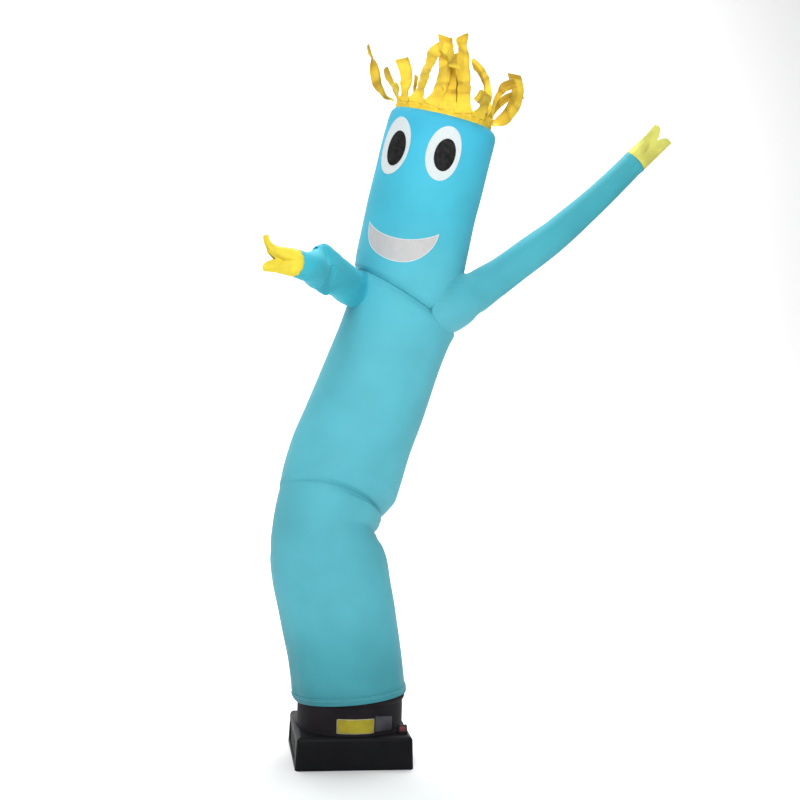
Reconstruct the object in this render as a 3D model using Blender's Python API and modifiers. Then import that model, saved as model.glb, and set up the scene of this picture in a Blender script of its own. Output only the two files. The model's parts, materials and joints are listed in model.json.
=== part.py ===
"""An inflatable air dancer: a cloth tube man that stands, bent by the wind, on the collar of a small floor blower.

Metres, +Z up. The origin is the centre of the housing's underside. The housing lies square to the axes.
The cloth is laid out in its own lean frame: +X is the side that the dancer leans to, -Y is the side of its face.
That frame is turned about +Z by LEAN_TURN, because the dancer isn't blown square to the blower.
"""

import math

import bmesh
import bpy
import numpy as np
from mathutils import Matrix, Vector

# Blower: a square drafted housing with a round collar, an air intake on one side and a power switch
HOUSING_SIDE = 0.334
HOUSING_HEIGHT = 0.092
HOUSING_DRAFT = 0.004
HOUSING_EDGE_RADIUS = 0.013
HOUSING_FOOT_SHARE = 0.15
COLLAR_RADIUS = 0.153
COLLAR_WALL = 0.003
COLLAR_HEIGHT = 0.1005
BEAD_PROUD = 0.006
BEAD_HALF_HEIGHT = 0.0105
COLLAR_FOOT = 0.005
COLLAR_STEPS = 40
GRILLE_SIZE = (0.0026, 0.246, 0.056)
GRILLE_INSET = 0.0052
GRILLE_SLOTS = 15
GRILLE_SLOT = (0.0085, 0.044)
INTAKE_DEPTH = 0.016

# Switch: a wedge-shaped pod on the housing with a rocker in its slanted face
POD_PLACE = (0.139, -0.1205)
POD_WIDTH = 0.026
POD_DEPTH = 0.026
POD_HEIGHT = 0.021
POD_LIP = 0.004
POD_SHELF = 0.010
ROCKER_SIZE = (0.0165, 0.0145)
ROCKER_AXIS_DEPTH = 0.0015
ROCKER_TILT = 8.0
TRUNNION_RADIUS = 0.0015
TRUNNION_LENGTH = 0.0012

# Cloth
LEAN_TURN = -8.35
GAP = 0.0004
SEAM_GAP = 0.0006
CLOTH = 0.0012
PATCH = 0.0010
AROUND_BODY = 32
AROUND_ARM = 20
BODY_STEPS = 1
HEAD_STEPS = 2
HAIR_BAND_HEIGHT = 0.031

# One row per ring of the body tube, from the hem up to the shoulder seam.
# left and right are the ring's two side points, front_rise is how far its front stands above its middle,
# half_depth is half its front-to-back size, and valley is how deep a fold is pressed in at its front right.
# Columns: left_x left_z right_x right_z middle_y front_rise half_depth valley
BODY_RINGS = (
    (-0.1570, 0.160, 0.1625, 0.192, 0.000, 0.004, 0.1612, 0.000),
    (-0.1650, 0.170, 0.1625, 0.201, 0.000, 0.003, 0.1612, 0.000),
    (-0.1690, 0.186, 0.1595, 0.214, 0.000, 0.002, 0.1618, 0.000),
    (-0.1730, 0.218, 0.1560, 0.240, 0.000, 0.000, 0.1625, 0.000),
    (-0.1840, 0.282, 0.1450, 0.310, 0.000, 0.000, 0.1600, 0.000),
    (-0.2010, 0.352, 0.1330, 0.382, 0.000, 0.003, 0.1580, 0.000),
    (-0.2170, 0.422, 0.1220, 0.450, 0.000, 0.008, 0.1570, 0.000),
    (-0.2340, 0.491, 0.1080, 0.512, 0.000, 0.017, 0.1570, 0.000),
    (-0.2440, 0.558, 0.0960, 0.572, 0.000, 0.030, 0.1580, 0.000),
    (-0.2435, 0.610, 0.0820, 0.610, 0.000, 0.042, 0.1610, 0.000),
    (-0.2405, 0.648, 0.0645, 0.648, 0.000, 0.052, 0.1640, 0.004),
    (-0.2360, 0.686, 0.0735, 0.677, 0.000, 0.062, 0.1650, 0.000),
    (-0.2300, 0.720, 0.0780, 0.692, 0.000, 0.072, 0.1650, 0.000),
    (-0.2240, 0.752, 0.0750, 0.702, 0.000, 0.081, 0.1640, 0.009),
    (-0.2190, 0.783, 0.0920, 0.720, 0.000, 0.080, 0.1650, 0.000),
    (-0.2120, 0.822, 0.1160, 0.745, 0.000, 0.072, 0.1640, 0.000),
    (-0.2010, 0.868, 0.1280, 0.777, 0.000, 0.058, 0.1610, 0.000),
    (-0.1830, 0.930, 0.1390, 0.815, 0.000, 0.038, 0.1590, 0.000),
    (-0.1540, 1.005, 0.1570, 0.880, 0.000, 0.018, 0.1570, 0.000),
    (-0.1240, 1.083, 0.1830, 0.958, 0.000, 0.008, 0.1570, 0.000),
    (-0.0935, 1.162, 0.2090, 1.044, 0.000, 0.004, 0.1580, 0.000),
    (-0.0650, 1.236, 0.2370, 1.136, 0.000, 0.004, 0.1600, 0.000),
    (-0.0420, 1.306, 0.2600, 1.198, 0.000, 0.006, 0.1610, 0.000),
    (-0.0260, 1.366, 0.2740, 1.226, 0.000, 0.010, 0.1600, 0.000),
    (-0.0150, 1.416, 0.2780, 1.242, 0.000, 0.012, 0.1570, 0.006),
)
# The same columns for the head, from the shoulder seam up to the hairline.
HEAD_RINGS = (
    (-0.0150, 1.4165, 0.2780, 1.2425, 0.000, 0.012, 0.1570, 0.006),
    (-0.0190, 1.4300, 0.2860, 1.2900, -0.003, 0.008, 0.1620, 0.000),
    (-0.0170, 1.4580, 0.2930, 1.3450, -0.008, 0.002, 0.1640, 0.000),
    (-0.0110, 1.4880, 0.2980, 1.4020, -0.014, -0.006, 0.1640, 0.000),
    (0.0000, 1.5420, 0.3090, 1.4660, -0.022, -0.014, 0.1630, 0.000),
    (0.0170, 1.6250, 0.3250, 1.5520, -0.032, -0.019, 0.1610, 0.000),
    (0.0330, 1.7000, 0.3410, 1.6260, -0.041, -0.019, 0.1590, 0.000),
    (0.0495, 1.7770, 0.3580, 1.7060, -0.051, -0.019, 0.1580, 0.000),
    (0.0640, 1.8350, 0.3710, 1.7640, -0.058, -0.019, 0.1565, 0.000),
    (0.0710, 1.8580, 0.3755, 1.7880, -0.061, -0.019, 0.1550, 0.000),
    (0.0770, 1.8710, 0.3735, 1.8050, -0.062, -0.018, 0.1500, 0.000),
    (0.0870, 1.8790, 0.3620, 1.8190, -0.063, -0.017, 0.1400, 0.000),
)
VALLEY_TOWARDS = 55.0
VALLEY_SHARPNESS = 1.5

# One row per ring of a sleeve: its centre, its half height across the sleeve and its half width, front to back.
# Columns: x y z half_height half_width
RIGHT_SLEEVE = (
    (0.200, -0.020, 1.292, 0.0790, 0.1120),
    (0.262, -0.020, 1.316, 0.0740, 0.1060),
    (0.308, -0.020, 1.343, 0.0640, 0.0880),
    (0.348, -0.020, 1.369, 0.0560, 0.0640),
    (0.402, -0.020, 1.4065, 0.0510, 0.0510),
    (0.4515, -0.020, 1.4445, 0.0485, 0.0485),
    (0.550, -0.020, 1.522, 0.0460, 0.0460),
    (0.643, -0.020, 1.604, 0.0400, 0.0400),
    (0.721, -0.020, 1.681, 0.0367, 0.0367),
    (0.788, -0.020, 1.750, 0.0348, 0.0348),
)
LEFT_SLEEVE = (
    (0.075, 0.030, 1.342, 0.0560, 0.0560),
    (0.005, -0.045, 1.350, 0.0530, 0.0530),
    (-0.030, -0.110, 1.357, 0.0525, 0.0500),
    (-0.050, -0.200, 1.368, 0.0530, 0.0480),
    (-0.068, -0.300, 1.375, 0.0580, 0.0430),
    (-0.079, -0.372, 1.377, 0.0660, 0.0340),
    (-0.087, -0.406, 1.371, 0.0680, 0.0270),
    (-0.099, -0.450, 1.364, 0.0600, 0.0320),
    (-0.102, -0.464, 1.364, 0.0530, 0.0360),
    (-0.107, -0.515, 1.368, 0.0400, 0.0380),
    (-0.120, -0.565, 1.366, 0.0345, 0.0345),
    (-0.146, -0.600, 1.368, 0.0335, 0.0335),
)

# One row per hand: how far its upper finger, its lower finger and the notch between them lie from the cuff,
# its half height and half thickness at the tip, and how far each finger bends, in degrees.
# Columns: upper_length lower_length notch_length tip_half_height tip_half_width upper_bend lower_bend
RIGHT_HAND = (0.119, 0.113, 0.086, 0.0330, 0.0075, 4.0, -3.0)
LEFT_HAND = (0.112, 0.080, 0.050, 0.0300, 0.0090, 84.0, -4.0)
HAND_RINGS = 10
HAND_TURN_SHARE = 0.5
FINGER_ROOT_SHARE = 0.42
NOTCH_SHARPNESS = 4
NOTCH_FADE = 6
HAND_DIRECTIONS = ((0.700, 0.000, 0.714), (-0.930, -0.300, 0.100))

# Face patches, in cloth sizes: the arc round the head from its front line and the height above the seam's middle
# Columns: arc height half_width half_height tilt
LEFT_EYE = (-0.1295, 0.4075, 0.0520, 0.0785, -2.0)
RIGHT_EYE = (0.0205, 0.4165, 0.0460, 0.0725, -2.0)
LEFT_PUPIL = (-0.1190, 0.4015, 0.0305, 0.0470, -2.0)
RIGHT_PUPIL = (0.0248, 0.4135, 0.0272, 0.0425, -2.0)
# Columns: left_arc left_height right_arc right_height upper_sag lower_sag
MOUTH = (-0.159, 0.189, 0.060, 0.203, 0.037, 0.114)
FACE_OUTLINE = 24
FACE_RINGS = 3
MOUTH_STEPS = 16
PATCH_LIFT = 0.0008

# One row per ribbon of the hair: where it starts round the head (0 is the front, 90 the right side), its half
# width, and its sections from root to tip. A section has its length, how far it leans outwards and how far
# sideways round the head, and how far the ribbon is twisted by then, in degrees.
# Columns: angle half_width (length lean sweep twist)
RIBBONS = (
    (-160, 0.018, ((0.080, 8, -25, 0), (0.060, 4, -10, 20))),
    (-139, 0.015, ((0.070, 0, 0, 0), (0.030, 20, 0, 40))),
    (-118, 0.016, ((0.080, 52, 0, 20), (0.055, 30, 0, 80))),
    (-97, 0.015, ((0.065, 62, 0, 10), (0.045, 36, 5, 60), (0.075, 34, 5, 140))),
    (-77, 0.014, ((0.040, 20, 30, 0), (0.040, 60, 60, 40))),
    (-58, 0.018, ((0.055, 0, 5, 0), (0.065, 32, -10, 50))),
    (-37, 0.021, ((0.095, 6, 5, 0), (0.060, 9, 18, 0), (0.025, 9, 80, 20), (0.060, 8, 150, 30))),
    (-15, 0.021, ((0.105, 2, 9, 0), (0.070, -4, -20, 0))),
    (3, 0.021, ((0.100, -14, -11, 0), (0.105, -10, -19, -10))),
    (21, 0.021, ((0.103, -3, -15, 0), (0.105, 0, -19, 10))),
    (41, 0.019, ((0.040, 16, 0, 0), (0.022, 50, -35, 0), (0.062, 78, -72, 0))),
    (62, 0.013, ((0.065, -18, 0, 60), (0.050, -18, -5, 80), (0.035, -40, -5, 90), (0.037, -60, 0, 80))),
    (82, 0.015, ((0.070, 0, -8, 0), (0.050, 14, 0, 60), (0.025, 60, 0, 100))),
    (101, 0.020, ((0.050, 46, 0, 35), (0.045, 28, 0, 75), (0.045, 0, 0, 85), (0.045, -32, 0, 80))),
    (120, 0.013, ((0.075, 18, 0, 50), (0.045, 40, 0, 80), (0.045, 70, -10, 90))),
    (140, 0.016, ((0.090, -32, 25, 0), (0.060, -22, 25, 20))),
    (160, 0.018, ((0.110, -10, 14, 0), (0.090, -5, 18, 20))),
    (180, 0.018, ((0.110, -12, 6, 0), (0.080, -8, 16, 10))),
)
RIBBON_STEPS = 8
RIBBON_THICKNESS = 0.0012
RIBBON_ROOT_SHARE = 0.86

# Cord socket on the housing's back wall
CORD_PLACE = (0.060, 0.040)
CORD_PLATE = (0.036, 0.005, 0.028)
CORD_POCKET = (0.026, 0.018)
CORD_POCKET_FLOOR = 0.0015


def clear_scene():
    for old in list(bpy.data.objects):
        bpy.data.objects.remove(old)
    for name, hidden in (("air_dancer", False), ("cutters", True)):
        collection = bpy.data.collections.new(name)
        collection.hide_render = hidden
        bpy.context.scene.collection.children.link(collection)


def material(name, colour, roughness, metallic=0.0):
    made = bpy.data.materials.new(name)
    made.use_nodes = True
    shader = made.node_tree.nodes["Principled BSDF"]
    shader.inputs["Base Color"].default_value = (*colour, 1.0)
    shader.inputs["Roughness"].default_value = roughness
    shader.inputs["Metallic"].default_value = metallic
    return made


def place(name, mesh, finish=None, parent=None, collection="air_dancer"):
    """Links a mesh as one object, with its material and its parent."""
    made = bpy.data.objects.new(name, mesh)
    bpy.data.collections[collection].objects.link(made)
    made.parent = parent
    if finish:
        mesh.materials.append(finish)
    if collection == "cutters":
        made.hide_render = True
        made.display_type = "WIRE"
    return made


def empty(name, location=(0, 0, 0), parent=None):
    made = bpy.data.objects.new(name, None)
    bpy.data.collections["air_dancer"].objects.link(made)
    made.parent = parent
    made.location = location
    return made


def mesh_from_bmesh(name, bm):
    bmesh.ops.recalc_face_normals(bm, faces=bm.faces)
    mesh = bpy.data.meshes.new(name)
    bm.to_mesh(mesh)
    bm.free()
    return mesh


def box_mesh(name, low, high):
    bm = bmesh.new()
    bmesh.ops.create_cube(bm, size=1.0)
    size = [b - a for a, b in zip(low, high)]
    middle = [(a + b) / 2 for a, b in zip(low, high)]
    bmesh.ops.transform(
        bm, matrix=Matrix.Translation(middle) @ Matrix.Diagonal((*size, 1.0)), verts=bm.verts
    )
    return mesh_from_bmesh(name, bm)


def extruded_mesh(name, outline, x_from, x_to):
    """A flat outline in the YZ plane, carried from x_from to x_to."""
    bm = bmesh.new()
    face = bm.faces.new([bm.verts.new((x_from, y, z)) for y, z in outline])
    grown = bmesh.ops.extrude_face_region(bm, geom=[face])["geom"]
    moved = [g for g in grown if isinstance(g, bmesh.types.BMVert)]
    bmesh.ops.translate(bm, vec=(x_to - x_from, 0, 0), verts=moved)
    return mesh_from_bmesh(name, bm)


def rod_mesh(name, radius, x_from, x_to, y, z, sides=12):
    bm = bmesh.new()
    bmesh.ops.create_cone(
        bm, cap_ends=True, segments=sides, radius1=radius, radius2=radius, depth=x_to - x_from
    )
    turn = Matrix.Rotation(math.radians(90), 4, "Y")
    middle = Matrix.Translation(((x_from + x_to) / 2, y, z))
    bmesh.ops.transform(bm, matrix=middle @ turn, verts=bm.verts)
    return mesh_from_bmesh(name, bm)


def grid_mesh(name, points, closed_rows=True):
    """A surface through a grid of points: rows along the tube, columns round it."""
    rows, columns = points.shape[:2]
    index = np.arange(rows * columns).reshape(rows, columns)
    around = np.roll(index, -1, axis=1) if closed_rows else index[:, 1:]
    here = index if closed_rows else index[:, :-1]
    faces = np.stack([here[:-1], around[:-1], around[1:], here[1:]], axis=-1).reshape(-1, 4)
    mesh = bpy.data.meshes.new(name)
    mesh.from_pydata(points.reshape(-1, 3).tolist(), [], faces.tolist())
    mesh.update()
    return mesh


def solid_tube_mesh(name, points):
    """The same grid with both ends capped, as a closed solid."""
    mesh = grid_mesh(name, points)
    bm = bmesh.new()
    bm.from_mesh(mesh)
    bpy.data.meshes.remove(mesh)
    bmesh.ops.holes_fill(bm, edges=[e for e in bm.edges if e.is_boundary])
    return mesh_from_bmesh(name, bm)


def solidify(target, thickness, outwards=False):
    modifier = target.modifiers.new("cloth_thickness", "SOLIDIFY")
    modifier.thickness = thickness
    modifier.offset = 1.0 if outwards else -1.0
    modifier.use_even_offset = False


def boolean(target, cutter, operation="DIFFERENCE"):
    modifier = target.modifiers.new(cutter.name, "BOOLEAN")
    modifier.operation = operation
    modifier.object = cutter
    modifier.solver = "EXACT"


def smooth(target, angle=40.0):
    target.data.shade_smooth()
    target.data.set_sharp_from_angle(angle=math.radians(angle))


# Body and head tubes


def smooth_rows(table, steps):
    """Carries a table's rows on as a smooth curve (Catmull-Rom), with so many steps from row to row."""
    table = np.array(table, float)
    if steps == 1:
        return table
    padded = np.vstack([2 * table[0] - table[1], table, 2 * table[-1] - table[-2]])
    rows = []
    for i in range(1, len(padded) - 2):
        before, here, after, last = padded[i - 1 : i + 3]
        for step in range(steps):
            t = step / steps
            rows.append(
                here
                + 0.5 * t * (after - before)
                + t**2 * (before - 2.5 * here + 2 * after - 0.5 * last)
                + t**3 * (1.5 * (here - after) + 0.5 * (last - before))
            )
    return np.array(rows + [table[-1]])


def ring_points(rows, angles, grow=0.0):
    """Points of the rings at angles round them, in radians: 0 is the front, +90 degrees the right side.
    A point is the middle, plus the front half vector times cos, plus the side half vector times sin."""
    left_x, left_z, right_x, right_z, middle_y, rise, half_depth, valley = np.asarray(rows).T
    zero = np.zeros_like(left_x)
    middle = np.stack([(left_x + right_x) / 2, middle_y, (left_z + right_z) / 2], -1)
    side = np.stack([(right_x - left_x) / 2, zero, (right_z - left_z) / 2], -1)
    front = np.stack([zero, -half_depth, rise], -1)
    angles = np.asarray(angles, float)
    spoke = front[:, None] * np.cos(angles)[None, :, None] + side[:, None] * np.sin(angles)[None, :, None]
    reach = np.linalg.norm(spoke, axis=-1, keepdims=True)
    towards = (1 + np.cos(angles - math.radians(VALLEY_TOWARDS))) / 2
    pressed = valley[:, None] * towards[None] ** VALLEY_SHARPNESS
    return middle[:, None] + spoke * (1 + (grow - pressed[..., None]) / reach)


def full_circle(count):
    return np.arange(count) * 2 * math.pi / count


def body_tube(name, table, steps, finish, parent):
    rows = smooth_rows(table, steps)
    tube = place(name, grid_mesh(name, ring_points(rows, full_circle(AROUND_BODY))), finish, parent)
    solidify(tube, CLOTH)
    return tube


def figure_envelope(name, parent):
    """A closed solid that holds the body and head tubes with a seam's gap all round: what the sleeves are trimmed by."""
    rows = np.vstack([smooth_rows(BODY_RINGS, BODY_STEPS), smooth_rows(HEAD_RINGS, HEAD_STEPS)[1:]])
    points = ring_points(rows, full_circle(AROUND_BODY), grow=SEAM_GAP)
    return place(name, solid_tube_mesh(name, points), None, parent, "cutters")


# Sleeves and hands


def path_frames(centres):
    """The direction of a path at each of its points, the one across it that is most upright, and the one to its side."""
    along = np.gradient(centres, axis=0)
    along /= np.linalg.norm(along, axis=1, keepdims=True)
    side = np.cross(along, (0.0, 0.0, 1.0))
    side /= np.linalg.norm(side, axis=1, keepdims=True)
    upright = np.cross(side, along)
    return along, upright, side


def sleeve_points(table, around, grow=0.0):
    rows = np.array(table, float)
    centres = rows[:, :3]
    _, upright, side = path_frames(centres)
    angles = full_circle(around)
    high = (rows[:, 3] + grow)[:, None, None] * upright[:, None] * np.cos(angles)[None, :, None]
    wide = (rows[:, 4] + grow)[:, None, None] * side[:, None] * np.sin(angles)[None, :, None]
    return centres[:, None] + high - wide


def sleeve(name, table, finish, parent, envelope):
    tube = place(name, grid_mesh(name, sleeve_points(table, AROUND_ARM)), finish, parent)
    solidify(tube, CLOTH)
    boolean(tube, envelope)
    return tube


def sleeve_bore(name, table, parent):
    points = sleeve_points(table[:5], AROUND_ARM, grow=-CLOTH - GAP)
    return place(name, solid_tube_mesh(name, points), None, parent, "cutters")


def hand_points(sleeve_table, hand, towards):
    """A cuff that flattens into two fingers. Its middle line turns from the sleeve's direction to the hand's.
    The tube's end is longest along each finger and shortest at the notch between them. Past its root a finger
    runs along an arc of its own bend: sin(turn) / curvature ahead and (1 - cos(turn)) / curvature up."""
    upper_length, lower_length, notch_length, tip_height, tip_width, upper_bend, lower_bend = hand
    last = np.array(sleeve_table[-1], float)
    sleeve_along, upright, side = (frame[-1] for frame in path_frames(np.array(sleeve_table, float)[:, :3]))
    angles = full_circle(AROUND_ARM)
    heights = np.cos(angles)
    finger = np.where(heights > 0, upper_length, lower_length)
    reach = finger - (finger - notch_length) * (1 - np.abs(heights)) ** NOTCH_SHARPNESS
    share = np.linspace(0.0, 1.0, HAND_RINGS)[:, None]
    ease = share**2 * (3 - 2 * share)
    half_height = last[3] + (tip_height - last[3]) * ease
    half_width = last[4] + (tip_width - last[4]) * np.minimum(1.0, 1.6 * ease)
    up = half_height * heights[None]
    wide = half_width * np.sin(angles)[None]
    direction = np.array(towards, float)
    direction /= np.linalg.norm(direction)
    turned = np.clip(share / HAND_TURN_SHARE, 0, 1)
    turned = (turned**2 * (3 - 2 * turned))[..., None]
    heading = sleeve_along * (1 - turned) + direction * turned
    heading = heading / np.linalg.norm(heading, axis=-1, keepdims=True)
    out = side - heading * (heading @ side)[..., None]
    out /= np.linalg.norm(out, axis=-1, keepdims=True)
    top = np.cross(out, heading)
    steps = np.diff(share, axis=0, prepend=0)[..., None] * reach[None, :, None]
    spine = np.cumsum(steps * heading, axis=0) + sleeve_along * SEAM_GAP
    past = np.maximum(share - FINGER_ROOT_SHARE, 0) * reach[None]
    bend = np.radians(np.where(heights > 0, upper_bend, lower_bend)) * np.minimum(1, np.abs(heights) * NOTCH_FADE)
    turn = bend[None] * past / (reach[None] * (1 - FINGER_ROOT_SHARE))
    run = past * np.sinc(turn / math.pi)
    rise = past * turn / 2 * np.sinc(turn / (2 * math.pi)) ** 2
    centre = half_height * np.sign(np.round(heights, 6))[None] / 2
    offset = up - centre
    ahead = run - past - offset * np.sin(turn)
    above = centre + rise + offset * np.cos(turn)
    return last[:3] + spine + ahead[..., None] * heading + above[..., None] * top - wide[..., None] * out


def hand(name, sleeve_table, row, towards, finish, parent):
    points = hand_points(sleeve_table, row, towards)
    cuff = place(name, grid_mesh(name, points), finish, parent)
    solidify(cuff, CLOTH)
    return cuff


# Face


def head_surface(arc, height, lift):
    """The point of the head's cloth at an arc round it and a height above the seam's middle, lifted off it."""
    rows = smooth_rows(HEAD_RINGS, HEAD_STEPS)
    level = (rows[:, 1] + rows[:, 3]) / 2
    level = level - level[0]
    rows_here = np.stack([np.interp(height, level, column) for column in rows.T], -1)
    radius = (rows_here[:, 2] - rows_here[:, 0]) / 2
    angle = arc / radius
    points = [ring_points(rows_here[i : i + 1], angle[i : i + 1], grow=lift)[0, 0] for i in range(len(arc))]
    return np.array(points)


def patch_mesh(name, arc, height, lift):
    """A sheet on the head through a grid of (arc, height)."""
    points = head_surface(arc.ravel(), height.ravel(), lift)
    return grid_mesh(name, points.reshape(*arc.shape, 3), closed_rows=True)


def oval_patch(name, row, finish, parent, lift):
    """An oval: rings shrink towards its middle, and the last is filled."""
    arc, height, half_width, half_height, tilt = row
    angles = full_circle(FACE_OUTLINE)
    shares = np.linspace(1.0, 0.25, FACE_RINGS)[:, None]
    across = half_width * shares * np.cos(angles)
    up = half_height * shares * np.sin(angles)
    lean = math.radians(tilt)
    arcs = arc + across * math.cos(lean) - up * math.sin(lean)
    heights = height + across * math.sin(lean) + up * math.cos(lean)
    mesh = patch_mesh(name, arcs, heights, lift)
    bm = bmesh.new()
    bm.from_mesh(mesh)
    inner = [v for v in bm.verts if v.index >= (FACE_RINGS - 1) * FACE_OUTLINE]
    middle = bm.verts.new(head_surface(np.array([arc]), np.array([height]), lift)[0])
    for i, corner in enumerate(inner):
        bm.faces.new((corner, inner[(i + 1) % len(inner)], middle))
    bm.to_mesh(mesh)
    bm.free()
    patch = place(name, mesh, finish, parent)
    solidify(patch, PATCH, outwards=True)
    return patch


def mouth_patch(name, finish, parent, lift):
    """A smile: two arcs that share their tips, the lower one sagging further than the upper one."""
    left_arc, left_height, right_arc, right_height, upper_sag, lower_sag = MOUTH
    share = (1 - np.cos(np.linspace(0.0, math.pi, MOUTH_STEPS + 1))) / 2
    arcs = left_arc + (right_arc - left_arc) * share
    chord = left_height + (right_height - left_height) * share
    bow = np.sin(math.pi * share) ** 0.8
    thickness = np.maximum(lower_sag * np.sin(math.pi * share) ** 0.5 - upper_sag * bow, 0.004)
    levels = np.linspace(0.0, 1.0, 5)[:, None]
    heights = chord - upper_sag * bow - levels * thickness
    mesh_points = head_surface(np.broadcast_to(arcs, heights.shape).ravel(), heights.ravel(), lift)
    mesh = grid_mesh(name, mesh_points.reshape(*heights.shape, 3)[::-1], closed_rows=False)
    patch = place(name, mesh, finish, parent)
    solidify(patch, PATCH, outwards=True)
    return patch


# Hair


def hair_frame():
    """The middle of the hairline ring, its side and front half vectors, and the direction out of it."""
    left_x, left_z, right_x, right_z, middle_y, rise, half_depth, _ = HEAD_RINGS[-1]
    middle = np.array([(left_x + right_x) / 2, middle_y, (left_z + right_z) / 2])
    side = np.array([(right_x - left_x) / 2, 0.0, (right_z - left_z) / 2])
    front = np.array([0.0, -half_depth, rise])
    up = np.cross(side, front)
    up = -up / np.linalg.norm(up)
    return middle, side, front, up


def band_point(angle, height, inwards):
    middle, side, front, up = hair_frame()
    spoke = front * math.cos(angle) + side * math.sin(angle)
    outwards = spoke / np.linalg.norm(spoke)
    return middle + spoke + up * (SEAM_GAP + height) - outwards * (inwards + 0.06 * height)


def ribbon_corners(row):
    """The four corners of a ribbon at each step. The path runs on by equal lengths. Its direction and its twist
    pass evenly from one section's middle to the next's, and its width is carried along from step to step."""
    angle, half_width, sections = row
    turn = math.radians(angle)
    _, side, front, up = hair_frame()
    outwards = front * math.cos(turn) + side * math.sin(turn)
    outwards /= np.linalg.norm(outwards)
    across = side * math.cos(turn) - front * math.sin(turn)
    across /= np.linalg.norm(across)
    round_head = across
    lengths, leans, sweeps, twists = np.array(sections).T
    middles = np.cumsum(lengths) - lengths / 2
    step_length = lengths.sum() / RIBBON_STEPS
    here = (band_point(turn, HAIR_BAND_HEIGHT, 0) + band_point(turn, HAIR_BAND_HEIGHT, RIBBON_THICKNESS)) / 2
    corners = []
    for step in range(1, RIBBON_STEPS + 1):
        spot = (step - 0.5) * step_length
        lean = math.radians(np.interp(spot, middles, leans))
        sweep = math.radians(np.interp(spot, middles, sweeps))
        spin = math.radians(np.interp(spot, [0, *middles], [0, *twists]))
        along = up * math.cos(lean) * math.cos(sweep)
        along = along + outwards * math.sin(lean) * math.cos(sweep) + round_head * math.sin(sweep)
        here = here + along * step_length
        across = across - along * np.dot(across, along)
        across /= np.linalg.norm(across)
        flat = np.cross(along, across)
        wide = (across * math.cos(spin) + flat * math.sin(spin)) * half_width
        thick = (flat * math.cos(spin) - across * math.sin(spin)) * (RIBBON_THICKNESS / 2)
        corners.append([here - wide - thick, here + wide - thick, here + wide + thick, here - wide + thick])
    return corners


def hair_mesh(name):
    """A band round the hairline. Each ribbon grows out of its own stretch of the band's top edge."""
    bm = bmesh.new()
    columns = []
    ordered = sorted(RIBBONS)
    radius = np.linalg.norm(hair_frame()[2])
    for row in ordered:
        spread = row[1] * RIBBON_ROOT_SHARE / radius
        columns += [math.radians(row[0]) - spread, math.radians(row[0]) + spread]
    posts = []
    for angle in columns:
        spots = [(0, 0), (HAIR_BAND_HEIGHT, 0), (HAIR_BAND_HEIGHT, RIBBON_THICKNESS), (0, RIBBON_THICKNESS)]
        posts.append([bm.verts.new(band_point(angle, high, inwards)) for high, inwards in spots])
    for i, post in enumerate(posts):
        after = posts[(i + 1) % len(posts)]
        bm.faces.new((post[0], after[0], after[1], post[1]))
        bm.faces.new((post[2], after[2], after[3], post[3]))
        bm.faces.new((post[3], after[3], after[0], post[0]))
        if i % 2:
            bm.faces.new((post[1], after[1], after[2], post[2]))
            continue
        loop = [post[1], after[1], after[2], post[2]]
        for corners in ribbon_corners(ordered[i // 2]):
            onward = [bm.verts.new(corner) for corner in corners]
            for k in range(4):
                a, b, c, d = loop[k], loop[(k + 1) % 4], onward[(k + 1) % 4], onward[k]
                # Both broad faces are split from the same edge, so that a twist can't make them cross
                if k == 2:
                    a, b, c, d = b, c, d, a
                bm.faces.new((a, b, c))
                bm.faces.new((a, c, d))
            loop = onward
        bm.faces.new(loop)
    return mesh_from_bmesh(name, bm)


# Blower


def housing(finish):
    half = HOUSING_SIDE / 2
    mesh = box_mesh("blower_housing", (-half, -half, 0), (half, half, HOUSING_HEIGHT))
    for vertex in mesh.vertices:
        if vertex.co.z > HOUSING_HEIGHT / 2:
            vertex.co.x -= math.copysign(HOUSING_DRAFT, vertex.co.x)
            vertex.co.y -= math.copysign(HOUSING_DRAFT, vertex.co.y)
    weights = mesh.attributes.new("bevel_weight_edge", "FLOAT", "EDGE")
    for edge in mesh.edges:
        low = max(mesh.vertices[v].co.z for v in edge.vertices) < HOUSING_HEIGHT / 2
        weights.data[edge.index].value = HOUSING_FOOT_SHARE if low else 1.0
    made = place("blower_housing", mesh, finish)
    bevel = made.modifiers.new("rounded_edges", "BEVEL")
    bevel.width = HOUSING_EDGE_RADIUS
    bevel.segments = 4
    bevel.limit_method = "WEIGHT"
    _, wide, high = GRILLE_SIZE
    middle_z = HOUSING_HEIGHT / 2 - 0.004
    low = (-half - 0.01, -wide / 2 - GAP, middle_z - high / 2 - GAP)
    top = (-half + GRILLE_INSET + INTAKE_DEPTH, wide / 2 + GAP, middle_z + high / 2 + GAP)
    boolean(made, place("intake_pocket", box_mesh("intake_pocket", low, top), None, None, "cutters"))
    smooth(made)
    return made


def intake_grille(finish):
    thick, wide, high = GRILLE_SIZE
    slot_wide, slot_high = GRILLE_SLOT
    x = -HOUSING_SIDE / 2 + GRILLE_INSET
    z = HOUSING_HEIGHT / 2 - 0.004
    low, top = (x, -wide / 2, z - high / 2), (x + thick, wide / 2, z + high / 2)
    grille = place("intake_grille", box_mesh("intake_grille", low, top), finish)
    bm = bmesh.new()
    pitch = wide / (GRILLE_SLOTS + 0.6)
    for i in range(GRILLE_SLOTS):
        y = (i - (GRILLE_SLOTS - 1) / 2) * pitch
        cut = Matrix.Translation((x, y, z)) @ Matrix.Diagonal((4 * thick, slot_wide, slot_high, 1.0))
        bmesh.ops.create_cube(bm, size=1.0, matrix=cut)
    boolean(grille, place("grille_slots", mesh_from_bmesh("grille_slots", bm), None, None, "cutters"))
    return grille


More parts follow.
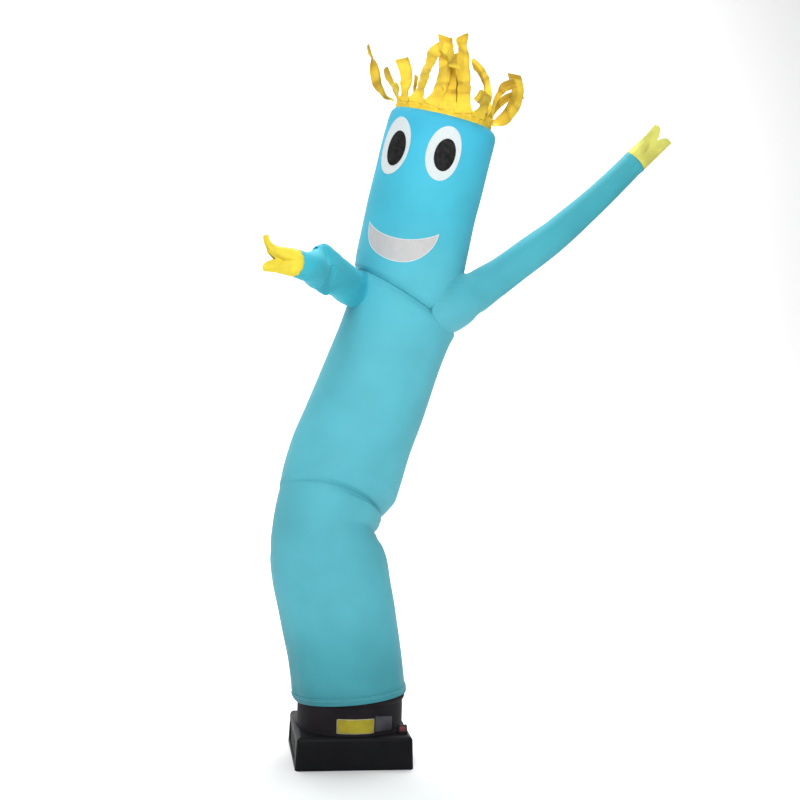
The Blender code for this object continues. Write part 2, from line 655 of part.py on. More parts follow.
def cord_inlet(finish):
    """A plain socket that stands square on the drafted back wall."""
    x, z = CORD_PLACE
    wide, deep, high = CORD_PLATE
    wall = empty("cord_wall", (x, HOUSING_SIDE / 2 - HOUSING_DRAFT * z / HOUSING_HEIGHT, z))
    wall.rotation_euler = (math.atan2(HOUSING_DRAFT, HOUSING_HEIGHT), 0.0, 0.0)
    plate = box_mesh("cord_inlet", (-wide / 2, GAP, -high / 2), (wide / 2, GAP + deep, high / 2))
    made = place("cord_inlet", plate, finish, wall)
    pocket_wide, pocket_high = CORD_POCKET
    low = (-pocket_wide / 2, GAP + CORD_POCKET_FLOOR, -pocket_high / 2)
    top = (pocket_wide / 2, GAP + 2 * deep, pocket_high / 2)
    boolean(made, place("cord_pocket", box_mesh("cord_pocket", low, top), None, wall, "cutters"))
    return made


def collar(finish):
    """A ring with a bead rolled out round its mouth, turned from its wall's outline."""
    foot_z = HOUSING_HEIGHT + GAP
    mouth_z = HOUSING_HEIGHT + COLLAR_HEIGHT
    bead_z = mouth_z - BEAD_HALF_HEIGHT
    outline = []
    for degrees in (90, 55, 25, 0, -25, -55, -90):
        turn = math.radians(degrees)
        outline.append((COLLAR_RADIUS + BEAD_PROUD * math.cos(turn), bead_z + BEAD_HALF_HEIGHT * math.sin(turn)))
    outline += [
        (COLLAR_RADIUS, foot_z + COLLAR_FOOT),
        (COLLAR_RADIUS + COLLAR_FOOT * 0.3, foot_z + COLLAR_FOOT * 0.3),
        (COLLAR_RADIUS + COLLAR_FOOT, foot_z),
        (COLLAR_RADIUS - COLLAR_WALL, foot_z),
        (COLLAR_RADIUS - COLLAR_WALL, mouth_z),
    ]
    mesh = bpy.data.meshes.new("blower_collar")
    edges = [(i, (i + 1) % len(outline)) for i in range(len(outline))]
    mesh.from_pydata([(r, 0.0, z) for r, z in outline], edges, [])
    made = place("blower_collar", mesh, finish)
    screw = made.modifiers.new("turned", "SCREW")
    screw.steps = COLLAR_STEPS
    screw.render_steps = COLLAR_STEPS
    screw.use_merge_vertices = True
    screw.merge_threshold = 0.0001
    screw.use_smooth_shade = True
    return made


def switch(pod_finish, rocker_finish):
    """The pod's slanted face runs from its front lip up to its shelf. The rocker turns in a pocket there."""
    pod_place = empty("switch_place", (*POD_PLACE, HOUSING_HEIGHT + GAP))
    back = POD_DEPTH / 2
    lip = (-back, POD_LIP)
    shelf = (back - POD_SHELF, POD_HEIGHT)
    outline = [(-back, 0.0), lip, shelf, (back, POD_HEIGHT), (back, 0.0)]
    pod = place(
        "switch_pod",
        extruded_mesh("switch_pod", outline, -POD_WIDTH / 2, POD_WIDTH / 2),
        pod_finish,
        pod_place,
    )
    slope = math.atan2(shelf[1] - lip[1], shelf[0] - lip[0])
    middle = Vector((0.0, (lip[0] + shelf[0]) / 2, (lip[1] + shelf[1]) / 2))
    inwards = Vector((0.0, math.sin(slope), -math.cos(slope)))
    axis_place = empty("rocker_axis", middle + inwards * ROCKER_AXIS_DEPTH, pod_place)
    axis_place.rotation_euler = (slope, 0.0, 0.0)
    wide, long = ROCKER_SIZE
    pocket_half = long / 2 + 0.0011
    low = (-wide / 2 - GAP, -pocket_half, -0.0055)
    top = (wide / 2 + GAP, pocket_half, 0.010)
    pocket = place("rocker_pocket", box_mesh("rocker_pocket", low, top), None, axis_place, "cutters")
    boolean(pod, pocket)
    reach = wide / 2 + TRUNNION_LENGTH
    holes = rod_mesh("trunnion_holes", TRUNNION_RADIUS + GAP, -reach - GAP, reach + GAP, 0, 0)
    boolean(pod, place("trunnion_holes", holes, None, axis_place, "cutters"))
    half = long / 2
    outline = [
        (-half, 0.0034),
        (0.0, 0.0021),
        (half, 0.0034),
        (half, 0.0004),
        (half * 0.45, -0.0032),
        (-half * 0.45, -0.0032),
        (-half, 0.0004),
    ]
    rocker = place(
        "rocker_switch",
        extruded_mesh("rocker_switch", outline, -wide / 2, wide / 2),
        rocker_finish,
        axis_place,
    )
    rocker.rotation_euler = (math.radians(ROCKER_TILT), 0.0, 0.0)
    rod = rod_mesh("trunnion", TRUNNION_RADIUS, -reach, reach, 0, 0)
    boolean(rocker, place("trunnion", rod, None, axis_place, "cutters"), "UNION")
    return pod, rocker


def main():
    clear_scene()
    cloth = (0.09, 0.53, 0.62)
    shell_black = material("shell_black", (0.020, 0.020, 0.021), 0.45)
    collar_black = material("collar_black", (0.028, 0.024, 0.022), 0.6)
    grille_black = material("grille_black", (0.012, 0.012, 0.013), 0.55)
    switch_black = material("switch_black", (0.015, 0.015, 0.016), 0.35)
    switch_red = material("switch_red", (0.62, 0.03, 0.03), 0.35)
    body_cloth = material("body_cloth", cloth, 0.6)
    head_cloth = material("head_cloth", cloth, 0.6)
    sleeve_cloth = material("sleeve_cloth", cloth, 0.6)
    hand_cloth = material("hand_cloth", (0.86, 0.80, 0.16), 0.6)
    hair_cloth = material("hair_cloth", (0.92, 0.62, 0.03), 0.6)
    eye_white = material("eye_white", (0.86, 0.86, 0.87), 0.6)
    eye_black = material("eye_black", (0.02, 0.02, 0.02), 0.6)
    mouth_white = material("mouth_white", (0.70, 0.70, 0.72), 0.6)

    housing(shell_black)
    intake_grille(grille_black)
    cord_inlet(switch_black)
    collar(collar_black)
    switch(switch_black, switch_red)

    lean = empty("lean_frame")
    lean.rotation_euler = (0.0, 0.0, math.radians(LEAN_TURN))
    body = body_tube("body_tube", BODY_RINGS, BODY_STEPS, body_cloth, lean)
    head = body_tube("head_tube", HEAD_RINGS, HEAD_STEPS, head_cloth, lean)
    envelope = figure_envelope("figure_envelope", lean)
    sleeve("right_sleeve", RIGHT_SLEEVE, sleeve_cloth, lean, envelope)
    sleeve("left_sleeve", LEFT_SLEEVE, sleeve_cloth, lean, envelope)
    right_bore = sleeve_bore("right_sleeve_bore", RIGHT_SLEEVE, lean)
    left_bore = sleeve_bore("left_sleeve_bore", LEFT_SLEEVE, lean)
    boolean(head, right_bore)
    boolean(body, left_bore)
    hand("right_hand", RIGHT_SLEEVE, RIGHT_HAND, HAND_DIRECTIONS[0], hand_cloth, lean)
    hand("left_hand", LEFT_SLEEVE, LEFT_HAND, HAND_DIRECTIONS[1], hand_cloth, lean)

    on_eye = PATCH_LIFT + PATCH + GAP
    oval_patch("left_eye_white", LEFT_EYE, eye_white, lean, PATCH_LIFT)
    oval_patch("right_eye_white", RIGHT_EYE, eye_white, lean, PATCH_LIFT)
    oval_patch("left_pupil", LEFT_PUPIL, eye_black, lean, on_eye)
    oval_patch("right_pupil", RIGHT_PUPIL, eye_black, lean, on_eye)
    mouth_patch("mouth_patch", mouth_white, lean, PATCH_LIFT)
    place("hair_fringe", hair_mesh("hair_fringe"), hair_cloth, lean)


main()
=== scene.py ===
# %% [markdown]
# # An inflatable air dancer on its floor blower
#
# The object is a tube of light nylon that a small blower holds upright. It has a smiling face, two long
# sleeves with two-fingered hands, and a fringe of ribbons round its open top. This notebook dresses the
# measured solids of that object. Each cell makes one piece and says what the piece is on the real object,
# and most cells print what they made. Everything is in metres, with +Z up and the face towards -Y.

import json
import math

import bmesh
import bpy
import numpy as np
from mathutils import Matrix, Vector

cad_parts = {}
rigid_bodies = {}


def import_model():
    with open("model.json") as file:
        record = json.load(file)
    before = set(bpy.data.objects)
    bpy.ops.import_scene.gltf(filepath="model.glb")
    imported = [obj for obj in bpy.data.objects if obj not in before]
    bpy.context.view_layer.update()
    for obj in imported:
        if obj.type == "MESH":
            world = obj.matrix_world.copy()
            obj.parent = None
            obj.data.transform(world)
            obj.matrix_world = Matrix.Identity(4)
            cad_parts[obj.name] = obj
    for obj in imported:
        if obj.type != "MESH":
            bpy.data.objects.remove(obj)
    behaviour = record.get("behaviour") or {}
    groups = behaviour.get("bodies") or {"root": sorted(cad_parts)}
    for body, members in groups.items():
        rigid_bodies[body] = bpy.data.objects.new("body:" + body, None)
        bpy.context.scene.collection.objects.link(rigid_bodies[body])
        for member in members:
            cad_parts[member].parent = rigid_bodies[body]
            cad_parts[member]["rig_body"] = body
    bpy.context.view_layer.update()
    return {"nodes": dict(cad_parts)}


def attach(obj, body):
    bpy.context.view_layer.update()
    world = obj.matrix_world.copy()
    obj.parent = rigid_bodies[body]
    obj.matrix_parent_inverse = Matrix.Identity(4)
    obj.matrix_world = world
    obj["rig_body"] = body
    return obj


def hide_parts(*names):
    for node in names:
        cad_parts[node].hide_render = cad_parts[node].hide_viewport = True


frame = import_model()

# %% [markdown]
# ## Tables of the cloth
#
# Cloth that air holds open is a row of rings. Each ring is an ellipse, and these tables give one row per
# ring: the two side points, the middle's place from front to back, how far the ring's front stands above
# its middle, half its depth, and how deep a fold is pressed in at its front right. The figure stands
# turned a little on its blower, so all cloth is worked out in a frame of its own and turned at the end.

# %% Ring tables
LEAN_TURN = math.radians(-8.35)
CLOTH = 0.0010

# Columns: left_x left_z right_x right_z middle_y front_rise half_depth valley
BODY_RINGS = np.array([
    (-0.1570, 0.160, 0.1625, 0.192, 0.000, 0.004, 0.1612, 0.000),
    (-0.1650, 0.170, 0.1625, 0.201, 0.000, 0.003, 0.1612, 0.000),
    (-0.1690, 0.186, 0.1595, 0.214, 0.000, 0.002, 0.1618, 0.000),
    (-0.1730, 0.218, 0.1560, 0.240, 0.000, 0.000, 0.1625, 0.000),
    (-0.1840, 0.282, 0.1450, 0.310, 0.000, 0.000, 0.1600, 0.000),
    (-0.2010, 0.352, 0.1330, 0.382, 0.000, 0.003, 0.1580, 0.000),
    (-0.2170, 0.422, 0.1220, 0.450, 0.000, 0.008, 0.1570, 0.000),
    (-0.2340, 0.491, 0.1080, 0.512, 0.000, 0.017, 0.1570, 0.000),
    (-0.2440, 0.558, 0.0960, 0.572, 0.000, 0.030, 0.1580, 0.000),
    (-0.2435, 0.610, 0.0820, 0.610, 0.000, 0.042, 0.1610, 0.000),
    (-0.2405, 0.648, 0.0645, 0.648, 0.000, 0.052, 0.1640, 0.004),
    (-0.2360, 0.686, 0.0735, 0.677, 0.000, 0.062, 0.1650, 0.000),
    (-0.2300, 0.720, 0.0780, 0.692, 0.000, 0.072, 0.1650, 0.000),
    (-0.2240, 0.752, 0.0750, 0.702, 0.000, 0.081, 0.1640, 0.009),
    (-0.2190, 0.783, 0.0920, 0.720, 0.000, 0.080, 0.1650, 0.000),
    (-0.2120, 0.822, 0.1160, 0.745, 0.000, 0.072, 0.1640, 0.000),
    (-0.2010, 0.868, 0.1280, 0.777, 0.000, 0.058, 0.1610, 0.000),
    (-0.1830, 0.930, 0.1390, 0.815, 0.000, 0.038, 0.1590, 0.000),
    (-0.1540, 1.005, 0.1570, 0.880, 0.000, 0.018, 0.1570, 0.000),
    (-0.1240, 1.083, 0.1830, 0.958, 0.000, 0.008, 0.1570, 0.000),
    (-0.0935, 1.162, 0.2090, 1.044, 0.000, 0.004, 0.1580, 0.000),
    (-0.0650, 1.236, 0.2370, 1.136, 0.000, 0.004, 0.1600, 0.000),
    (-0.0420, 1.306, 0.2600, 1.198, 0.000, 0.006, 0.1610, 0.000),
    (-0.0260, 1.366, 0.2740, 1.226, 0.000, 0.010, 0.1600, 0.000),
    (-0.0150, 1.416, 0.2780, 1.242, 0.000, 0.012, 0.1570, 0.006),
])
HEAD_RINGS = np.array([
    (-0.0150, 1.4165, 0.2780, 1.2425, 0.000, 0.012, 0.1570, 0.006),
    (-0.0190, 1.4300, 0.2860, 1.2900, -0.003, 0.008, 0.1620, 0.000),
    (-0.0170, 1.4580, 0.2930, 1.3450, -0.008, 0.002, 0.1640, 0.000),
    (-0.0110, 1.4880, 0.2980, 1.4020, -0.014, -0.006, 0.1640, 0.000),
    (0.0000, 1.5420, 0.3090, 1.4660, -0.022, -0.014, 0.1630, 0.000),
    (0.0170, 1.6250, 0.3250, 1.5520, -0.032, -0.019, 0.1610, 0.000),
    (0.0330, 1.7000, 0.3410, 1.6260, -0.041, -0.019, 0.1590, 0.000),
    (0.0495, 1.7770, 0.3580, 1.7060, -0.051, -0.019, 0.1580, 0.000),
    (0.0640, 1.8350, 0.3710, 1.7640, -0.058, -0.019, 0.1565, 0.000),
    (0.0710, 1.8580, 0.3755, 1.7880, -0.061, -0.019, 0.1550, 0.000),
    (0.0770, 1.8710, 0.3735, 1.8050, -0.062, -0.018, 0.1500, 0.000),
    (0.0870, 1.8790, 0.3620, 1.8190, -0.063, -0.017, 0.1400, 0.000),
])
VALLEY_TOWARDS = math.radians(55)
VALLEY_SHARPNESS = 1.5

# Columns: x y z half_height half_width
RIGHT_SLEEVE = np.array([
    (0.2000, -0.020, 1.2920, 0.0790, 0.1120),
    (0.2620, -0.020, 1.3160, 0.0740, 0.1060),
    (0.3080, -0.020, 1.3430, 0.0640, 0.0880),
    (0.3480, -0.020, 1.3690, 0.0560, 0.0640),
    (0.4020, -0.020, 1.4065, 0.0510, 0.0510),
    (0.4515, -0.020, 1.4445, 0.0485, 0.0485),
    (0.5500, -0.020, 1.5220, 0.0460, 0.0460),
    (0.6430, -0.020, 1.6040, 0.0400, 0.0400),
    (0.7210, -0.020, 1.6810, 0.0367, 0.0367),
    (0.7880, -0.020, 1.7500, 0.0348, 0.0348),
])
LEFT_SLEEVE = np.array([
    (0.075, 0.030, 1.342, 0.0560, 0.0560),
    (0.005, -0.045, 1.350, 0.0530, 0.0530),
    (-0.030, -0.110, 1.357, 0.0525, 0.0500),
    (-0.050, -0.200, 1.368, 0.0530, 0.0480),
    (-0.068, -0.300, 1.375, 0.0580, 0.0430),
    (-0.079, -0.372, 1.377, 0.0660, 0.0340),
    (-0.087, -0.406, 1.371, 0.0680, 0.0270),
    (-0.099, -0.450, 1.364, 0.0600, 0.0320),
    (-0.102, -0.464, 1.364, 0.0530, 0.0360),
    (-0.107, -0.515, 1.368, 0.0400, 0.0380),
    (-0.120, -0.565, 1.366, 0.0345, 0.0345),
    (-0.146, -0.600, 1.368, 0.0335, 0.0335),
])

# Columns: upper_length lower_length notch_length tip_half_height tip_half_width upper_bend lower_bend
RIGHT_HAND = (0.119, 0.113, 0.086, 0.0330, 0.0075, 4.0, -3.0)
LEFT_HAND = (0.112, 0.080, 0.050, 0.0300, 0.0090, 84.0, -4.0)
RIGHT_HEADING = (0.700, 0.000, 0.714)
LEFT_HEADING = (-0.930, -0.300, 0.100)

# Columns: arc height half_width half_height tilt
LEFT_EYE = (-0.1295, 0.4075, 0.0520, 0.0785, -2.0)
RIGHT_EYE = (0.0205, 0.4165, 0.0460, 0.0725, -2.0)
LEFT_PUPIL = (-0.1190, 0.4015, 0.0305, 0.0470, -2.0)
RIGHT_PUPIL = (0.0248, 0.4135, 0.0272, 0.0425, -2.0)
# Columns: left_arc left_height right_arc right_height upper_sag lower_sag
MOUTH = (-0.159, 0.189, 0.060, 0.203, 0.037, 0.114)

# Columns: angle half_width (length lean sweep twist), one inner row per section from root to tip
RIBBONS = (
    (-160, 0.018, ((0.080, 8, -25, 0), (0.060, 4, -10, 20))),
    (-139, 0.015, ((0.070, 0, 0, 0), (0.030, 20, 0, 40))),
    (-118, 0.016, ((0.080, 52, 0, 20), (0.055, 30, 0, 80))),
    (-97, 0.015, ((0.065, 62, 0, 10), (0.045, 36, 5, 60), (0.075, 34, 5, 140))),
    (-77, 0.014, ((0.040, 20, 30, 0), (0.040, 60, 60, 40))),
    (-58, 0.018, ((0.055, 0, 5, 0), (0.065, 32, -10, 50))),
    (-37, 0.021, ((0.095, 6, 5, 0), (0.060, 9, 18, 0), (0.025, 9, 80, 20), (0.060, 8, 150, 30))),
    (-15, 0.021, ((0.105, 2, 9, 0), (0.070, -4, -20, 0))),
    (3, 0.021, ((0.100, -14, -11, 0), (0.105, -10, -19, -10))),
    (21, 0.021, ((0.103, -3, -15, 0), (0.105, 0, -19, 10))),
    (41, 0.019, ((0.040, 16, 0, 0), (0.022, 50, -35, 0), (0.062, 78, -72, 0))),
    (62, 0.013, ((0.065, -18, 0, 60), (0.050, -18, -5, 80), (0.035, -40, -5, 90), (0.037, -60, 0, 80))),
    (82, 0.015, ((0.070, 0, -8, 0), (0.050, 14, 0, 60), (0.025, 60, 0, 100))),
    (101, 0.020, ((0.050, 46, 0, 35), (0.045, 28, 0, 75), (0.045, 0, 0, 85), (0.045, -32, 0, 80))),
    (120, 0.013, ((0.075, 18, 0, 50), (0.045, 40, 0, 80), (0.045, 70, -10, 90))),
    (140, 0.016, ((0.090, -32, 25, 0), (0.060, -22, 25, 20))),
    (160, 0.018, ((0.110, -10, 14, 0), (0.090, -5, 18, 20))),
    (180, 0.018, ((0.110, -12, 6, 0), (0.080, -8, 16, 10))),
)
BAND_HEIGHT = 0.031
SEAM_GAP = 0.0006
print("rings:", len(BODY_RINGS), "body,", len(HEAD_RINGS), "head;", len(RIBBONS), "ribbons")

# %% [markdown]
# ## Formulas that every piece shares
#
# A table row is carried on smoothly by a Catmull-Rom curve, which passes through every row. A ring's
# point is its middle plus its front half vector times cos plus its side half vector times sin. A mesh is
# then a grid of such points. Working whole grids at once in numpy keeps each piece to a few lines.

# %% Curves, rings and grids


def rows_at(table, t):
    """The table's row at any position t: b + f(c-a)/2 + f^2(a-2.5b+2c-d/2) + f^3(1.5(b-c)+(d-a)/2)."""
    padded = np.vstack([2 * table[0] - table[1], table, 2 * table[-1] - table[-2]])
    whole = np.clip(np.floor(t).astype(int), 0, len(table) - 2)
    f = (np.asarray(t) - whole)[..., None]
    a, b, c, d = (padded[whole + k] for k in range(4))
    return b + f * (c - a) / 2 + f**2 * (a - 2.5 * b + 2 * c - d / 2) + f**3 * (1.5 * (b - c) + (d - a) / 2)


def ring_vectors(rows):
    """A ring's middle, its side half vector and its front half vector."""
    left_x, left_z, right_x, right_z, middle_y, rise, half_depth, _ = np.moveaxis(rows, -1, 0)
    zero = np.zeros_like(left_x)
    middle = np.stack([(left_x + right_x) / 2, middle_y, (left_z + right_z) / 2], -1)
    side = np.stack([(right_x - left_x) / 2, zero, (right_z - left_z) / 2], -1)
    front = np.stack([zero, -half_depth, rise], -1)
    return middle, side, front


def ring_points(rows, angle, grow=0.0):
    """middle + spoke (1 + (grow - valley) / |spoke|), where spoke = front cos(angle) + side sin(angle)."""
    middle, side, front = ring_vectors(rows)
    spoke = front * np.cos(angle)[..., None] + side * np.sin(angle)[..., None]
    reach = np.linalg.norm(spoke, axis=-1)
    pressed = rows[..., 7] * ((1 + np.cos(angle - VALLEY_TOWARDS)) / 2) ** VALLEY_SHARPNESS
    return middle + spoke * (1 + (grow - pressed) / reach)[..., None]


def bump(x, middle, width):
    """A soft ridge: exp(-((x - middle) / width)^2)."""
    return np.exp(-(((x - middle) / width) ** 2))


def ramp(x, start, end):
    """0 before start, 1 after end, and 3s^2 - 2s^3 between them."""
    share = np.clip((x - start) / (end - start), 0, 1)
    return share * share * (3 - 2 * share)


def arc_length(points, axis=0):
    """The length run along a grid's rows, as a running total of the steps between its points."""
    steps = np.linalg.norm(np.diff(points, axis=axis), axis=-1)
    first = np.zeros_like(np.take(steps, [0], axis=axis))
    return np.concatenate([first, np.cumsum(steps, axis=axis)], axis=axis)


def turned(points):
    """Turns cloth points by the figure's lean turn about the upright axis, into the object's own frame."""
    c, s = math.cos(LEAN_TURN), math.sin(LEAN_TURN)
    return points @ np.array([(c, s, 0), (-s, c, 0), (0, 0, 1)])


def grid_faces(rows, columns, closed, looped=False):
    """The corner numbers of a grid's faces, and the same in a grid one column wider for its UV map."""
    index = np.arange(rows * columns).reshape(rows, columns)
    if looped:
        index = np.vstack([index, index[:1]])
        rows = rows + 1
    here = index if closed else index[:, :-1]
    after = np.roll(index, -1, 1) if closed else index[:, 1:]
    corners = np.stack([here[:-1], after[:-1], after[1:], here[1:]], -1).reshape(-1, 4)
    wide = columns + closed
    flat = np.arange(rows * wide).reshape(rows, wide)
    uv_corners = np.stack([flat[:-1, :-1], flat[:-1, 1:], flat[1:, 1:], flat[1:, :-1]], -1).reshape(-1, 4)
    return corners, uv_corners


def make_object(name, points, faces, loop_uv, finish, body="root", painted_shade=None):
    """One smooth mesh object at the origin. loop_uv gives the UV of each face corner, in metres of cloth, and the
    optional per-point values are painted shade: how far each point's colour is darkened towards the finish's shade
    colour."""
    mesh = bpy.data.meshes.new(name)
    mesh.vertices.add(len(points))
    mesh.vertices.foreach_set("co", np.asarray(points, np.float32).ravel())
    corners = len(faces[0])
    mesh.loops.add(len(faces) * corners)
    mesh.loops.foreach_set("vertex_index", np.asarray(faces, np.int32).ravel())
    mesh.polygons.add(len(faces))
    mesh.polygons.foreach_set("loop_start", np.arange(0, len(faces) * corners, corners, dtype=np.int32))
    mesh.uv_layers.new(name="cloth").data.foreach_set("uv", np.asarray(loop_uv, np.float32).ravel())
    if painted_shade is not None:
        mesh.attributes.new("painted_shade", "FLOAT", "POINT").data.foreach_set("value", np.asarray(painted_shade, np.float32))
    mesh.update(calc_edges=True)
    mesh.validate()
    mesh.shade_smooth()
    mesh.materials.append(finish)
    made = bpy.data.objects.new(name, mesh)
    bpy.context.scene.collection.objects.link(made)
    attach(made, body)
    return made


def grid_object(name, points, uv, closed, finish, body="root", looped=False):
    """A grid of points as an object. A closed grid meets itself round its columns, a looped one along its rows."""
    corners, uv_corners = grid_faces(points.shape[0], points.shape[1], closed, looped)
    return make_object(name, points.reshape(-1, 3), corners, uv.reshape(-1, 2)[uv_corners], finish, body)


def thicken(made, thickness=CLOTH, offset=-1.0):
    """Gives a sheet its thickness, inwards for offset -1 and outwards for +1."""
    solid = made.modifiers.new("thickness", "SOLIDIFY")
    solid.thickness = thickness
    solid.offset = offset
    solid.use_even_offset = False
    return made


def weld(made):
    """Merges the points that lie in one place, which closes a pole."""
    shape = bmesh.new()
    shape.from_mesh(made.data)
    bmesh.ops.remove_doubles(shape, verts=shape.verts, dist=1e-6)
    shape.to_mesh(made.data)
    shape.free()
    return made


def area_of(made):
    """The area of one side of an object's mesh, in square metres."""
    return sum(polygon.area for polygon in made.data.polygons)


print("a ring of the chest:", np.round(ring_points(rows_at(BODY_RINGS, np.array([19.0])), np.zeros(1)), 3))

# %% [markdown]
# ## Materials
#
# Air dancers are sewn from ripstop nylon, a very light plain weave with a thicker thread every few
# millimetres. Up close the thick threads make a faint square grid, and the cloth has a slight sheen.
# The cloth's colour is painted lighter near the top and darker and greyer near the blower: painted light and
# shade.
# The hard pieces are moulded plastic with a fine grain.

# %% Materials


def new_material(name, colour, roughness, sheen=0.0, specular=0.5, ior=1.45):
    """A material with its constant values on the shader itself, and the handles to its nodes."""
    made = bpy.data.materials.new(name)
    made.use_nodes = True
    nodes, links = made.node_tree.nodes, made.node_tree.links
    shader = nodes["Principled BSDF"]
    shader.inputs["Base Color"].default_value = (*colour, 1)
    shader.inputs["Roughness"].default_value = roughness
    shader.inputs["Sheen Weight"].default_value = sheen
    shader.inputs["Sheen Roughness"].default_value = 0.4
    shader.inputs["Specular IOR Level"].default_value = specular
    shader.inputs["IOR"].default_value = ior
    return made, nodes, links, shader


def math_node(nodes, links, operation, *values):
    """One Math node. A value is a number or another node's output."""
    made = nodes.new("ShaderNodeMath")
    made.operation = operation
    for place, value in zip(made.inputs, values):
        if isinstance(value, (int, float)):
            place.default_value = value
        else:
            links.new(value, place)
    return made.outputs[0]


def noise_node(nodes, links, coordinate, scale, detail=2.0, roughness=0.5):
    made = nodes.new("ShaderNodeTexNoise")
    made.inputs["Scale"].default_value = scale
    made.inputs["Detail"].default_value = detail
    made.inputs["Roughness"].default_value = roughness
    links.new(coordinate, made.inputs["Vector"])
    return made.outputs["Fac"]


def colour_ramp(nodes, links, factor, stops):
    """A colour ramp with a (position, colour) per stop."""
    made = nodes.new("ShaderNodeValToRGB")
    made.color_ramp.interpolation = "EASE"
    while len(made.color_ramp.elements) < len(stops):
        made.color_ramp.elements.new(0.5)
    for element, (position, colour) in zip(made.color_ramp.elements, stops):
        element.position = position
        element.color = (*colour, 1)
    links.new(factor, made.inputs["Fac"])
    return made.outputs["Color"]


def add_bump(nodes, links, shader, height, distance, strength=1.0):
    made = nodes.new("ShaderNodeBump")
    made.inputs["Distance"].default_value = distance
    made.inputs["Strength"].default_value = strength
    links.new(height, made.inputs["Height"])
    links.new(made.outputs["Normal"], shader.inputs["Normal"])


def mixed(nodes, links, factor, one, two, blend="MIX"):
    """A colour mix of two colours, each a tuple or another node's output."""
    made = nodes.new("ShaderNodeMix")
    made.data_type = "RGBA"
    made.blend_type = blend
    for place, value in ((made.inputs[0], factor), (made.inputs[6], one), (made.inputs[7], two)):
        if isinstance(value, float):
            place.default_value = value
        elif isinstance(value, tuple):
            place.default_value = (*value, 1)
        else:
            links.new(value, place)
    return made.outputs[2]


WEAVE = 0.0006


def nylon(name, stops, roughness=0.62, mottle=0.05, cloud_scale=7.0, painted_shade_colour=None):
    """Ripstop nylon. Its colour runs up the object through stops of (height in metres, colour), which on the tube
    and sleeves paint light and shade. Its weave is a pair of sine waves across the UV map, and every 6 mm a
    thicker thread stands out."""
    made, nodes, links, shader = new_material(name, stops[0][1], roughness, 0.03, 0.3, 1.35)
    place = nodes.new("ShaderNodeTexCoord")
    where = nodes.new("ShaderNodeSeparateXYZ")
    links.new(place.outputs["Object"], where.inputs[0])
    height = math_node(nodes, links, "DIVIDE", where.outputs["Z"], 2.2)
    colour = colour_ramp(nodes, links, height, [(z / 2.2, value) for z, value in stops])
    cloud = noise_node(nodes, links, place.outputs["Object"], cloud_scale, 3.0)
    shade = colour_ramp(nodes, links, cloud, [(0.3, (1 - mottle,) * 3), (0.7, (1 + mottle,) * 3)])
    colour = mixed(nodes, links, 1.0, colour, shade, "MULTIPLY")
    thread = nodes.new("ShaderNodeSeparateXYZ")
    links.new(place.outputs["UV"], thread.inputs[0])
    heights = []
    for axis in ("X", "Y"):
        turn = math_node(nodes, links, "MULTIPLY", thread.outputs[axis], 2 * math.pi / WEAVE)
        fine = math_node(nodes, links, "SINE", turn)
        rip = math_node(nodes, links, "PINGPONG", thread.outputs[axis], 0.003)
        wide = math_node(nodes, links, "MULTIPLY", rip, 2500.0)
        line = math_node(nodes, links, "SUBTRACT", 1.0, math_node(nodes, links, "SMOOTH_MIN", wide, 1.0, 0.3))
        heights.append(math_node(nodes, links, "MULTIPLY_ADD", fine, 0.15, line))
    grid = math_node(nodes, links, "ADD", *heights)
    # Painted shade: where the mesh's shade attribute says, the colour is darkened towards the given shade colour.
    if painted_shade_colour:
        painted_shade = nodes.new("ShaderNodeAttribute")
        painted_shade.attribute_name = "painted_shade"
        colour = mixed(nodes, links, painted_shade.outputs["Fac"], colour, painted_shade_colour)
    paler = math_node(nodes, links, "MULTIPLY", grid, 0.06)
    colour = mixed(nodes, links, paler, colour, (0.9, 0.95, 0.95))
    links.new(colour, shader.inputs["Base Color"])
    rough = noise_node(nodes, links, place.outputs["Object"], 40.0, 2.0)
    spread = math_node(nodes, links, "MULTIPLY_ADD", rough, 0.16, roughness - 0.08)
    links.new(spread, shader.inputs["Roughness"])
    add_bump(nodes, links, shader, grid, 0.00012, 0.6)
    return made


def moulded_plastic(name, colour, roughness, grain=0.00010, ior=1.24):
    """Moulded plastic: fine grain, soft wear in the roughness and a faint dusting on faces that look up."""
    made, nodes, links, shader = new_material(name, colour, roughness, ior=ior)
    place = nodes.new("ShaderNodeTexCoord")
    fine = noise_node(nodes, links, place.outputs["Object"], 900.0, 2.0)
    wear = noise_node(nodes, links, place.outputs["Object"], 14.0, 4.0, 0.6)
    shades = [(0.35, tuple(c * 0.85 for c in colour)), (0.65, tuple(c * 1.25 for c in colour))]
    base = colour_ramp(nodes, links, wear, shades)
    facing = nodes.new("ShaderNodeNewGeometry")
    up = nodes.new("ShaderNodeSeparateXYZ")
    links.new(facing.outputs["Normal"], up.inputs[0])
    dust = math_node(nodes, links, "MULTIPLY", math_node(nodes, links, "MAXIMUM", up.outputs["Z"], 0.0), wear)
    dust = math_node(nodes, links, "MULTIPLY", dust, 0.02)
    links.new(mixed(nodes, links, dust, base, (0.35, 0.35, 0.36)), shader.inputs["Base Color"])
    rough = math_node(nodes, links, "MULTIPLY_ADD", wear, 0.22, roughness - 0.11)
    links.new(rough, shader.inputs["Roughness"])
    add_bump(nodes, links, shader, fine, grain, 0.5)
    return made


